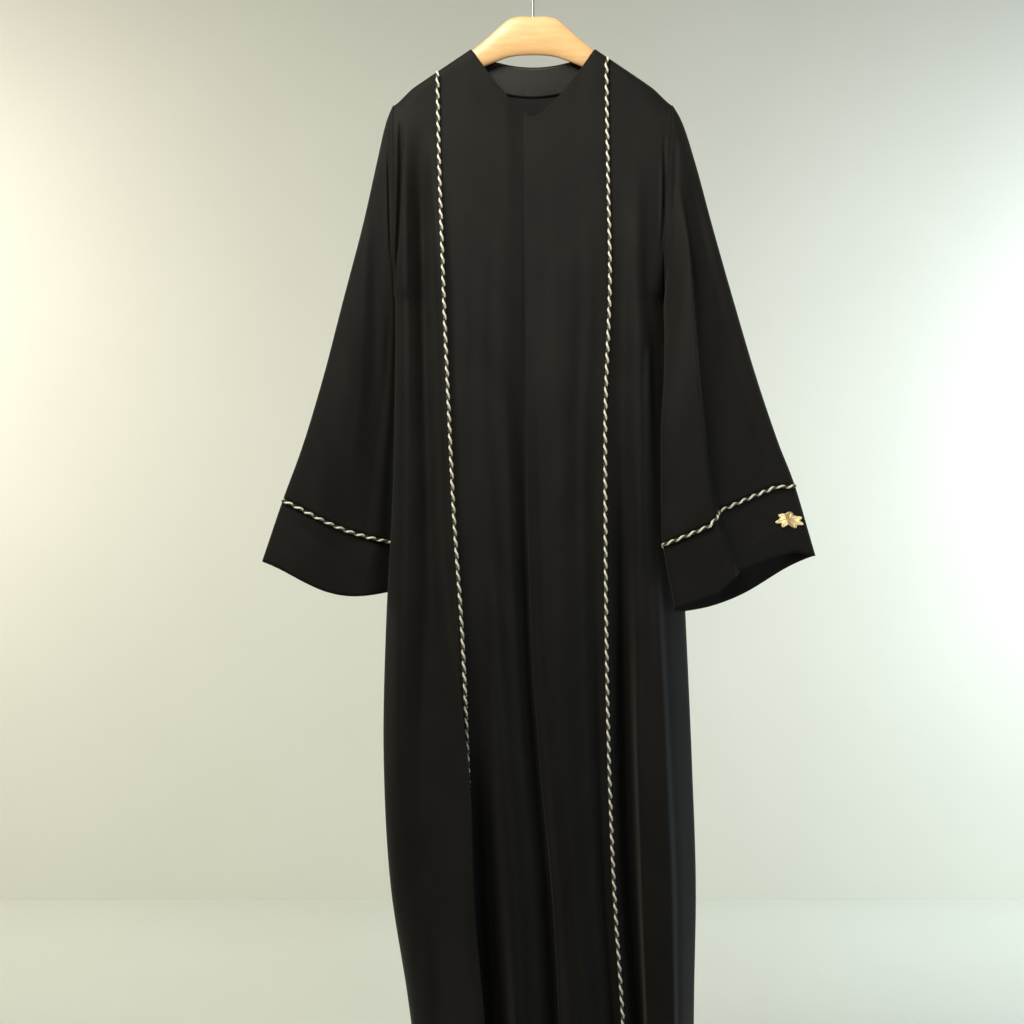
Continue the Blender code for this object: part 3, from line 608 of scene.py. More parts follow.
@dataclass(frozen=True)
class SleeveShape:
    """How one sleeve hangs, from the armhole at station 0 to the cuff's edge at station 1."""

    side: Side
    sections: tuple[SleeveSection, ...]
    folds: tuple[SleeveFold, ...]
    creases: tuple[Crease, ...]
    pleats: tuple[SleevePleat, ...]
    body: BodyShape
    armhole_turn: float = 0.0012
    ripple_width: float = 0.028
    ripple_height: float = 0.0005

    def pleat_offsets(self, station: Array, inward: Array) -> tuple[Array, Array]:
        """Return how far the pleats move the front out and how much higher they hang it.

        Args:
            station: Place along the sleeve.
            inward: Place round its front, 0 at the outer fold and 1 at the inner one.

        Returns:
            The distance out and the lift, in metres.
        """
        out, lift = np.zeros(np.broadcast(station, inward).shape), 0.0
        for pleat in self.pleats:
            middle = smooth_curve(pleat.stations, pleat.around, station)
            fallen = ramp(middle - inward, 0.0, pleat.width)
            recovering = np.clip(inward / 0.15, 0.0, 1.0)
            rising = np.clip((1 - inward) / (1 - middle), 0.0, 1.0)
            grown = ramp(station, 0.04, 0.25)
            out = out + grown * (pleat.crest * rising * (1 - fallen)
                                 - pleat.trough * fallen * recovering)
            low = ramp(station, CUFF_STATION, 1.0)
            raised = ramp(middle - inward, -0.05 - 0.09 * low, 0.05) * recovering
            height = pleat.lift_cord + (pleat.lift_hem - pleat.lift_cord) * low
            lift = lift + ramp(station, 0.40, CUFF_STATION) * height * raised
        return out, lift

    def rings(self, stations: Array, count: int) -> Array:
        """Return rings of points round the sleeve, from its outer fold round the front.

        Args:
            stations: Places along the sleeve; station 0 gets a second ring, at the armhole seam.
            count: Points in a ring.

        Returns:
            The points, ring by ring.
        """
        station = np.asarray(stations)[:, None]
        angle = np.linspace(0.0, 2 * np.pi, count, endpoint=False)[None, :]
        inward, front = (1 - np.cos(angle)) / 2, np.sin(angle)

        def size(name: str) -> Array:
            """Return a named size of the sleeve at each station."""
            return smooth_curve(table_column(self.sections, "station"),
                                table_column(self.sections, name), station)

        x = size("outer_x") * (1 - inward) + size("inner_x") * inward
        y = size("outer_y") * (1 - inward) + size("inner_y") * inward - size("half_depth") * front
        drop = size("outer_drop") * (1 - inward) + size("inner_drop") * inward
        for layer in Layer:
            weight = np.clip(-front * layer.value, 0.0, 1.0) ** 0.5
            for fold in self.folds:
                if fold.layer is layer:
                    shape = bell((inward - fold.around) / fold.half_width) * weight
                    shape = shape * ramp(station, fold.start, fold.full)
                    y = y + shape * fold.out * layer.value
                    drop = drop + shape * fold.sag
            if layer is Layer.FRONT:
                out, lift = self.pleat_offsets(station, inward)
                y = y + layer.value * weight * out
                drop = drop - weight * lift
            relief = crease_offset(self.creases, layer, x, drop)
            relief = relief + ramp(station, 0.05, 0.30) * ripple(
                x, drop, self.ripple_width, self.ripple_height, 21 + int(layer.value))
            y = y + layer.value * weight * relief
        y = y - np.sign(front) * hem_relief((1 - station) * SLEEVE_LENGTH) * np.abs(front) ** 0.5
        grid = np.stack((x, y, -drop), axis=-1)
        if stations[0] == 0.0:
            edge = grid[:1].copy()
            seam = self.body.value(f"{self.side.value}_side", -edge[..., 2])
            edge[..., 0] = seam + self.side.sign * SEAM_GAP
            grid[0, :, 0] = edge[0, :, 0] + self.side.sign * self.armhole_turn
            grid = np.concatenate((edge, grid))
        grid[..., 2] = grid[..., 2] - tip_rounding(grid[..., 0], -grid[..., 2])
        return grid


def linear_colour(hex_code: str) -> tuple[float, float, float, float]:
    """Turn an sRGB hex colour, such as "#1A2B3C", into a linear one with alpha 1."""
    channels = [int(hex_code[place:place + 2], 16) / 255 for place in (1, 3, 5)]
    linear = [value / 12.92 if value <= 0.04045 else ((value + 0.055) / 1.055) ** 2.4
              for value in channels]
    return (*linear, 1.0)


def add_node(tree: bpy.types.NodeTree, kind: str, settings: dict | None = None,
             inputs: dict | None = None) -> bpy.types.Node:
    """Add a node with its settings and links.

    Args:
        tree: The material's or the geometry's node tree.
        kind: The node's type.
        settings: Property names and their values.
        inputs: Socket names or numbers, each with a value or the output socket to link.

    Returns:
        The new node.
    """
    node = tree.nodes.new(kind)
    for name, value in (settings or {}).items():
        setattr(node, name, value)
    for key, value in (inputs or {}).items():
        if isinstance(value, bpy.types.NodeSocket):
            tree.links.new(value, node.inputs[key])
        else:
            node.inputs[key].default_value = value
    return node


def new_material(name: str, sockets: dict) -> tuple[bpy.types.Material, bpy.types.Node]:
    """Create a material with its uniform values on the shader's own sockets.

    Args:
        name: What the real material is and how it was made.
        sockets: Names of the shader's sockets and their values.

    Returns:
        The material and its shader node.
    """
    material = bpy.data.materials.new(name)
    material.use_nodes = True
    shader = material.node_tree.nodes["Principled BSDF"]
    for key, value in sockets.items():
        shader.inputs[key].default_value = value
    return material, shader


def link_finish(material: bpy.types.Material, shader: bpy.types.Node, colour: bpy.types.NodeSocket,
                rough: tuple[bpy.types.NodeSocket, float, float] | None = None,
                relief: tuple[bpy.types.NodeSocket, float, float] | None = None) -> None:
    """Link a finish's colour, roughness and relief to its shader.

    Args:
        material: The material.
        shader: Its shader node.
        colour: The socket that gives the colour.
        rough: A pattern's socket, and the roughness where the pattern is 0 and where it is 1.
        relief: A pattern's socket, and the bump's strength and its height in metres.
    """
    tree = material.node_tree
    tree.links.new(colour, shader.inputs["Base Color"])
    if rough is not None:
        pattern, smoothest, roughest = rough
        ranged = add_node(tree, "ShaderNodeMapRange", None,
                          {"Value": pattern, "To Min": smoothest, "To Max": roughest})
        tree.links.new(ranged.outputs[0], shader.inputs["Roughness"])
    if relief is not None:
        pattern, strength, height = relief
        bump = add_node(tree, "ShaderNodeBump", None,
                        {"Height": pattern, "Strength": strength, "Distance": height})
        tree.links.new(bump.outputs[0], shader.inputs["Normal"])


@dataclass(frozen=True)
class CrepeCloth:
    """Polyester crepe: hard-twisted threads in a plain weave, so matt with a faint pebbled grain.

    The real threads lie 0.35 mm apart. They are drawn 0.7 mm apart, so that they show close by.
    """

    name: str = "black_crepe_woven"
    deep: str = "#0A0A09"
    lit: str = "#131311"
    thread_mm: float = 0.7
    pebble_mm: float = 2.4
    patch_mm: float = 90.0
    roughness_low: float = 0.62
    roughness_high: float = 0.82
    sheen: float = 0.10

    def build(self) -> bpy.types.Material:
        """Return the cloth's material, on the cloth's own UV map in metres."""
        material, shader = new_material(self.name, {
            "IOR": 1.46, "Specular IOR Level": 0.22, "Sheen Weight": self.sheen,
            "Sheen Roughness": 0.45, "Sheen Tint": linear_colour("#B9B9B0")})
        tree = material.node_tree
        uv = add_node(tree, "ShaderNodeUVMap", {"uv_map": "cloth"})
        in_mm = add_node(tree, "ShaderNodeVectorMath", {"operation": "SCALE"},
                         {0: uv.outputs[0], "Scale": 1000.0})
        weave = []
        for direction in ("X", "Y"):
            wave = add_node(tree, "ShaderNodeTexWave",
                            {"wave_type": "BANDS", "bands_direction": direction},
                            {"Vector": in_mm.outputs[0], "Scale": math.pi / 10 / self.thread_mm,
                             "Distortion": 1.2, "Detail": 1.0, "Detail Scale": 2.0})
            weave.append(wave)
        threads = add_node(tree, "ShaderNodeMath", {"operation": "MULTIPLY"},
                           {0: weave[0].outputs["Fac"], 1: weave[1].outputs["Fac"]})
        pebble = add_node(tree, "ShaderNodeTexNoise", None,
                          {"Vector": in_mm.outputs[0], "Scale": 1 / self.pebble_mm, "Detail": 3.0,
                           "Roughness": 0.6})
        patch = add_node(tree, "ShaderNodeTexNoise", None,
                         {"Vector": in_mm.outputs[0], "Scale": 1 / self.patch_mm, "Detail": 2.0})
        shade = add_node(tree, "ShaderNodeMath", {"operation": "MULTIPLY_ADD"},
                         {0: pebble.outputs["Fac"], 1: 0.4, 2: patch.outputs["Fac"]})
        colour = add_node(tree, "ShaderNodeValToRGB", None, {"Fac": shade.outputs[0]})
        colour.color_ramp.elements[0].position = 0.45
        colour.color_ramp.elements[0].color = linear_colour(self.deep)
        colour.color_ramp.elements[1].position = 0.95
        colour.color_ramp.elements[1].color = linear_colour(self.lit)
        pebble_roughness_and_curvature = add_node(tree, "ShaderNodeMapRange", None,
                        {"Value": pebble.outputs["Fac"], "From Min": 0.3, "From Max": 0.7})
        height = add_node(tree, "ShaderNodeMath", {"operation": "MULTIPLY_ADD"},
                          {0: pebble.outputs["Fac"], 1: 0.8, 2: threads.outputs[0]})
        link_finish(material, shader, colour.outputs["Color"],
                    (pebble_roughness_and_curvature.outputs[0], self.roughness_low, self.roughness_high),
                    (height.outputs[0], 0.35, 0.00025))
        return material


@dataclass(frozen=True)
class SatinFacing:
    """Black satin: long floats of smooth thread; the light that they catch in fine upright streaks is
    painted into the colour.
    """

    name: str = "black_satin_woven"
    # lit is the painted highlight along the streaks, deep the satin's black between them.
    deep: str = "#0B0B0B"
    lit: str = "#171716"
    float_mm: float = 1.2

    def build(self) -> bpy.types.Material:
        """Return the satin's material, on the cloth's own UV map in metres."""
        material, shader = new_material(self.name, {
            "IOR": 1.48, "Specular IOR Level": 0.5, "Anisotropic": 0.4, "Sheen Weight": 0.15,
            "Sheen Roughness": 0.3})
        tree = material.node_tree
        uv = add_node(tree, "ShaderNodeUVMap", {"uv_map": "cloth"})
        stretched = add_node(tree, "ShaderNodeMapping", None,
                             {"Vector": uv.outputs[0], "Scale": (1000.0, 80.0, 1.0)})
        painted_sheen_streak = add_node(tree, "ShaderNodeTexNoise", None,
                          {"Vector": stretched.outputs[0], "Scale": 1 / self.float_mm,
                           "Detail": 3.0})
        # Painted highlight: the colour is lighter along the streaks, standing in for the light that the
        # floats catch.
        colour = add_node(tree, "ShaderNodeMix", {"data_type": "RGBA"},
                          {"Factor": painted_sheen_streak.outputs["Fac"], "A": linear_colour(self.deep),
                           "B": linear_colour(self.lit)})
        link_finish(material, shader, colour.outputs["Result"],
                    (painted_sheen_streak.outputs["Fac"], 0.30, 0.48), (painted_sheen_streak.outputs["Fac"], 0.2, 0.0002))
        return material


@dataclass(frozen=True)
class SpunStrand:
    """A strand of spun rayon: fine filaments that twist round it, with a silky lustre; its colour is
    painted darker in the grooves between filaments and lighter on their crests.
    """

    name: str
    # deep is the painted shade in the grooves between filaments, lit the painted highlight on their
    # crests.
    deep: str
    lit: str
    filaments: int = 11
    lay_mm: float = 30.0
    roughness: float = 0.42
    sheen: float = 0.3

    def build(self) -> bpy.types.Material:
        """Return the strand's material, on the attributes that run along and round it."""
        material, shader = new_material(self.name, {
            "IOR": 1.50, "Roughness": self.roughness, "Sheen Weight": self.sheen,
            "Sheen Roughness": 0.35})
        tree = material.node_tree
        places = {name: add_node(tree, "ShaderNodeAttribute", {"attribute_name": name})
                  for name in ("strand_along", "strand_cos", "strand_sin")}
        turn = add_node(tree, "ShaderNodeMath", {"operation": "ARCTAN2"},
                        {0: places["strand_sin"].outputs["Fac"],
                         1: places["strand_cos"].outputs["Fac"]})
        round_it = add_node(tree, "ShaderNodeMath", {"operation": "MULTIPLY"},
                            {0: turn.outputs[0], 1: float(self.filaments)})
        phase = add_node(tree, "ShaderNodeMath", {"operation": "MULTIPLY_ADD"},
                         {0: places["strand_along"].outputs["Fac"],
                          1: 2 * math.pi * self.filaments * 1000 / self.lay_mm,
                          2: round_it.outputs[0]})
        ridge = add_node(tree, "ShaderNodeMath", {"operation": "SINE"}, {0: phase.outputs[0]})
        place = add_node(tree, "ShaderNodeTexCoord")
        fuzz = add_node(tree, "ShaderNodeTexNoise", None,
                        {"Vector": place.outputs["Object"], "Scale": 900.0, "Detail": 2.0})
        # Painted shade: the filaments' height also sets the colour, darker in the grooves and lighter
        # on the crests, with a random fuzz tone on top.
        filament_height_and_painted_shade = add_node(tree, "ShaderNodeMath", {"operation": "MULTIPLY_ADD"},
                         {0: ridge.outputs[0], 1: 0.35, 2: fuzz.outputs["Fac"]})
        colour = add_node(tree, "ShaderNodeValToRGB", None, {"Fac": filament_height_and_painted_shade.outputs[0]})
        colour.color_ramp.elements[0].position = 0.05
        colour.color_ramp.elements[0].color = linear_colour(self.deep)
        colour.color_ramp.elements[1].position = 0.75
        colour.color_ramp.elements[1].color = linear_colour(self.lit)
        link_finish(material, shader, colour.outputs["Color"],
                    relief=(filament_height_and_painted_shade.outputs[0], 0.5, 0.0002))
        return material


@dataclass(frozen=True)
class GoldToneWithPaintedHighlight:
    """Cast zinc with a gold-tone plating; its colour is painted bright on its crests and dull in its
    hollows by the surface's curvature, a painted highlight and shade.
    """

    name: str = "gold_tone_plated_casting"
    # bright is the painted highlight on the crests, dull the painted shade in the hollows.
    bright: str = "#FFF0C4"
    dull: str = "#E8C070"
    grain_mm: float = 0.6

    def build(self) -> bpy.types.Material:
        """Return the plating's material, on Object coordinates."""
        material, shader = new_material(self.name, {"Metallic": 1.0})
        tree = material.node_tree
        place = add_node(tree, "ShaderNodeTexCoord")
        grain = add_node(tree, "ShaderNodeTexNoise", None,
                         {"Vector": place.outputs["Object"], "Scale": 1000 / self.grain_mm,
                          "Detail": 4.0})
        pebble_roughness_and_curvature = add_node(tree, "ShaderNodeNewGeometry")
        # Painted highlight and shade: by the surface's curvature, the colour is bright on convex crests
        # and dull in the hollows.
        edge = add_node(tree, "ShaderNodeMapRange", None,
                        {"Value": pebble_roughness_and_curvature.outputs["Pointiness"], "From Min": 0.44, "From Max": 0.54})
        colour = add_node(tree, "ShaderNodeMix", {"data_type": "RGBA"},
                          {"Factor": edge.outputs[0], "A": linear_colour(self.dull),
                           "B": linear_colour(self.bright)})
        link_finish(material, shader, colour.outputs["Result"],
                    (grain.outputs["Fac"], 0.36, 0.55), (grain.outputs["Fac"], 0.15, 0.0001))
        return material


@dataclass(frozen=True)
class VarnishedBeech:
    """Beech under a satin varnish: pale wood with fine flecks and soft grain along the bar."""

    name: str = "beech_varnished"
    pale: str = "#EBCB98"
    grain_colour: str = "#CF9E62"
    fleck_colour: str = "#A8733E"
    ring_mm: float = 7.0
    fleck_mm: float = 1.1

    def build(self) -> bpy.types.Material:
        """Return the wood's material, with its grain along X in Object coordinates."""
        material, shader = new_material(self.name, {
            "IOR": 1.50, "Coat Weight": 0.35, "Coat Roughness": 0.25})
        tree = material.node_tree
        place = add_node(tree, "ShaderNodeTexCoord")
        stretched = add_node(tree, "ShaderNodeMapping", None,
                             {"Vector": place.outputs["Object"], "Scale": (90.0, 1000.0, 1000.0)})
        rings = add_node(tree, "ShaderNodeTexNoise", None,
                         {"Vector": stretched.outputs[0], "Scale": 1 / self.ring_mm, "Detail": 4.0,
                          "Distortion": 0.6})
        flecks = add_node(tree, "ShaderNodeTexVoronoi", {"feature": "F1"},
                          {"Vector": stretched.outputs[0], "Scale": 1 / self.fleck_mm})
        grain = add_node(tree, "ShaderNodeMix", {"data_type": "RGBA"},
                         {"Factor": rings.outputs["Fac"], "A": linear_colour(self.pale),
                          "B": linear_colour(self.grain_colour)})
        spots = add_node(tree, "ShaderNodeMapRange", None,
                         {"Value": flecks.outputs["Distance"], "From Min": 0.05, "From Max": 0.25,
                          "To Min": 0.45, "To Max": 0.0})
        colour = add_node(tree, "ShaderNodeMix", {"data_type": "RGBA"},
                          {"Factor": spots.outputs[0], "A": grain.outputs["Result"],
                           "B": linear_colour(self.fleck_colour)})
        link_finish(material, shader, colour.outputs["Result"],
                    (rings.outputs["Fac"], 0.35, 0.55), (spots.outputs[0], 0.2, 0.0002))
        return material


@dataclass(frozen=True)
class ZincPlatedWire:
    """Drawn steel wire, zinc plated: grey metal with fine marks from the die along it."""

    name: str = "steel_wire_zinc_plated"
    bright: str = "#B8BABB"
    dull: str = "#8A8C8E"

    def build(self) -> bpy.types.Material:
        """Return the wire's material, on Object coordinates."""
        material, shader = new_material(self.name, {"Metallic": 1.0})
        tree = material.node_tree
        place = add_node(tree, "ShaderNodeTexCoord")
        mottle = add_node(tree, "ShaderNodeTexNoise", None,
                          {"Vector": place.outputs["Object"], "Scale": 700.0, "Detail": 5.0})
        colour = add_node(tree, "ShaderNodeMix", {"data_type": "RGBA"},
                          {"Factor": mottle.outputs["Fac"], "A": linear_colour(self.dull),
                           "B": linear_colour(self.bright)})
        link_finish(material, shader, colour.outputs["Result"],
                    (mottle.outputs["Fac"], 0.22, 0.45))
        return material


@dataclass(frozen=True)
class PlainPaint:
    """Matt emulsion on the room's wall or floor, with a very faint unevenness."""

    name: str
    light: str
    shade: str

    def build(self) -> bpy.types.Material:
        """Return the paint's material, on Object coordinates."""
        material, shader = new_material(self.name, {"Roughness": 0.9, "Specular IOR Level": 0.2})
        tree = material.node_tree
        place = add_node(tree, "ShaderNodeTexCoord")
        patch = add_node(tree, "ShaderNodeTexNoise", None,
                         {"Vector": place.outputs["Object"], "Scale": 1.5, "Detail": 2.0})
        colour = add_node(tree, "ShaderNodeMix", {"data_type": "RGBA"},
                          {"Factor": patch.outputs["Fac"], "A": linear_colour(self.shade),
                           "B": linear_colour(self.light)})
        link_finish(material, shader, colour.outputs["Result"])
        return material


def link_object(name: str, data: bpy.types.Mesh, material: bpy.types.Material) -> bpy.types.Object:
    """Add a mesh to the scene as an object at the origin.

    Args:
        name: Name of the object.
        data: Its mesh.
        material: Its only material.

    Returns:
        The object.
    """
    piece = bpy.data.objects.new(name, data)
    data.materials.append(material)
    bpy.context.scene.collection.objects.link(piece)
    return piece


def settle(piece: bpy.types.Object, nodes: tuple[str, ...] = ()) -> bpy.types.Object:
    """Make a piece part of the cloak.

    Args:
        piece: The finished object.
        nodes: The solids that it stands for, if it stands for any.

    Returns:
        The same object.
    """
    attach(piece, "root")
    if nodes:
        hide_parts(*nodes)
    LOG.info("%s: %d faces", piece.name, len(piece.data.polygons))
    return piece


def ring_solid(name: str, rings: Array, hub: Array | None = None) -> bpy.types.Mesh:
    """Join rings of points into a closed solid.

    Args:
        name: Name of the mesh.
        rings: Rings with the same number of points, from one end to the other.
        hub: A point that closes the first ring with a fan, or None for a flat end.

    Returns:
        The smooth-shaded mesh, its faces outward.
    """
    mesh = bmesh.new()
    rows = [[mesh.verts.new(point) for point in ring] for ring in rings.tolist()]
    count = len(rows[0])
    for first, second in zip(rows, rows[1:]):
        for index in range(count):
            after = (index + 1) % count
            mesh.faces.new((first[index], first[after], second[after], second[index]))
    if hub is None:
        mesh.faces.new(rows[0])
    else:
        middle = mesh.verts.new(hub)
        for index in range(count):
            mesh.faces.new((middle, rows[0][index], rows[0][(index + 1) % count]))
    mesh.faces.new(rows[-1])
    bmesh.ops.recalc_face_normals(mesh, faces=mesh.faces[:])
    data = bpy.data.meshes.new(name)
    mesh.to_mesh(data)
    mesh.free()
    data.shade_smooth()
    return data


@dataclass
class ClothSheet:
    """A sheet of cloth: rows and columns of points on its outer face, with a thin wall inside."""

    name: str
    grid: Array
    closed: bool
    outward: tuple[float, float, float]
    wall: float = SHELL_WALL

    def mesh(self) -> bpy.types.Mesh:
        """Return the outer face as a mesh, with a UV map in metres of cloth."""
        rows, columns = self.grid.shape[:2]
        number = np.arange(rows * columns).reshape(rows, columns)
        after = np.roll(number, -1, axis=1)
        last = columns if self.closed else columns - 1
        faces = np.stack((number[:-1, :last], after[:-1, :last], after[1:, :last],
                          number[1:, :last]), axis=-1)
        data = bpy.data.meshes.new(self.name)
        data.from_pydata(self.grid.reshape(-1, 3).tolist(), [], faces.reshape(-1, 4).tolist())
        ring = np.concatenate((self.grid, self.grid[:, :1]), axis=1) if self.closed else self.grid
        wide = np.cumsum(np.linalg.norm(np.diff(ring, axis=1), axis=-1), axis=1)
        wide = np.concatenate((np.zeros((rows, 1)), wide), axis=1)
        long = np.cumsum(np.linalg.norm(np.diff(ring, axis=0), axis=-1), axis=0)
        long = np.concatenate((np.zeros((1, ring.shape[1])), long), axis=0)
        places = np.stack((wide, -long), axis=-1)
        corners = np.stack((places[:-1, :-1], places[:-1, 1:], places[1:, 1:], places[1:, :-1]),
                           axis=2)
        layer = data.uv_layers.new(name="cloth")
        layer.data.foreach_set("uv", corners.reshape(-1))
        middle = data.polygons[(rows // 2) * last + columns // 4]
        if middle.normal.dot(Vector(self.outward)) < 0:
            data.flip_normals()
        data.shade_smooth()
        return data

    def build(self, material: bpy.types.Material) -> bpy.types.Object:
        """Return the sheet as an object of this material, its wall on the inside."""
        piece = link_object(self.name, self.mesh(), material)
        solidify = piece.modifiers.new("wall", "SOLIDIFY")
        solidify.thickness = self.wall
        solidify.offset = -1.0
        return piece

    def size(self) -> tuple[float, float, float]:
        """Return the sheet's widest row, its longest column and its area, flat."""
        ring = np.concatenate((self.grid, self.grid[:, :1]), axis=1) if self.closed else self.grid
        wide = np.linalg.norm(np.diff(ring, axis=1), axis=-1)
        long = np.linalg.norm(np.diff(ring, axis=0), axis=-1)
        first, second = ring[1:, 1:] - ring[:-1, :-1], ring[1:, :-1] - ring[:-1, 1:]
        area = np.linalg.norm(np.cross(first, second), axis=-1).sum() / 2
        return float(wide.sum(axis=1).max()), float(long.sum(axis=0).max()), float(area)

    def hang(self, material: bpy.types.Material, node: str) -> None:
        """Add the sheet for a solid and state the flat size that its cloth was cut to.

        Args:
            material: The cloth's finish.
            node: The solid that it stands for.
        """
        piece = settle(self.build(material), (node,))
        width, length, area = self.size()
        LOG.info("%s: flat %.3f x %.3f m, %.4f m2", piece.name, width, length, area)


def path_object(name: str, points: Array, normals: Array, closed: bool) -> bpy.types.Object:
    """Add a line of points as edges, with the cloth's normal kept on each point.

    Args:
        name: Name of the object.
        points: The line's points.
        normals: The cloth's normal at each point.
        closed: Whether the last point joins the first.

    Returns:
        The object that a node tree turns into a cord or stitches.
    """
    count = len(points)
    edges = [(index, (index + 1) % count) for index in range(count if closed else count - 1)]
    data = bpy.data.meshes.new(name)
    data.from_pydata(np.asarray(points).tolist(), edges, [])
    outward = data.attributes.new("cloth_normal", "FLOAT_VECTOR", "POINT")
    outward.data.foreach_set("vector", np.asarray(normals, dtype=np.float32).reshape(-1))
    piece = bpy.data.objects.new(name, data)
    bpy.context.scene.collection.objects.link(piece)
    return piece


def grown_mesh(piece: bpy.types.Object, tree: bpy.types.NodeTree,
               inputs: dict) -> bpy.types.Object:
    """Run a node tree on an object and keep the result as a plain mesh.

    Args:
        piece: The object that holds the path.
        tree: The geometry node tree.
        inputs: The tree's named inputs and their values.

    Returns:
        The same object, with the grown mesh and no modifier.
    """
    modifier = piece.modifiers.new("grow", "NODES")
    modifier.node_group = tree
    identifiers = {item.name: item.identifier for item in tree.interface.items_tree
                   if item.item_type == "SOCKET" and item.in_out == "INPUT"}
    for name, value in inputs.items():
        modifier[identifiers[name]] = value
    bpy.context.view_layer.update()
    graph = bpy.context.evaluated_depsgraph_get()
    data = bpy.data.meshes.new_from_object(piece.evaluated_get(graph))
    piece.modifiers.remove(modifier)
    piece.data = data
    return piece


def new_tree(name: str, inputs: dict[str, str]) -> tuple[bpy.types.NodeTree, bpy.types.Node]:
    """Create a geometry node tree with named inputs.

    Args:
        name: Name of the tree.
        inputs: Names of the inputs, each with its socket type.

    Returns:
        The tree and its input node.
    """
    tree = bpy.data.node_groups.new(name, "GeometryNodeTree")
    tree.interface.new_socket(name="Geometry", in_out="INPUT", socket_type="NodeSocketGeometry")
    for label, kind in inputs.items():
        tree.interface.new_socket(name=label, in_out="INPUT", socket_type=kind)
    tree.interface.new_socket(name="Geometry", in_out="OUTPUT", socket_type="NodeSocketGeometry")
    return tree, add_node(tree, "NodeGroupInput")


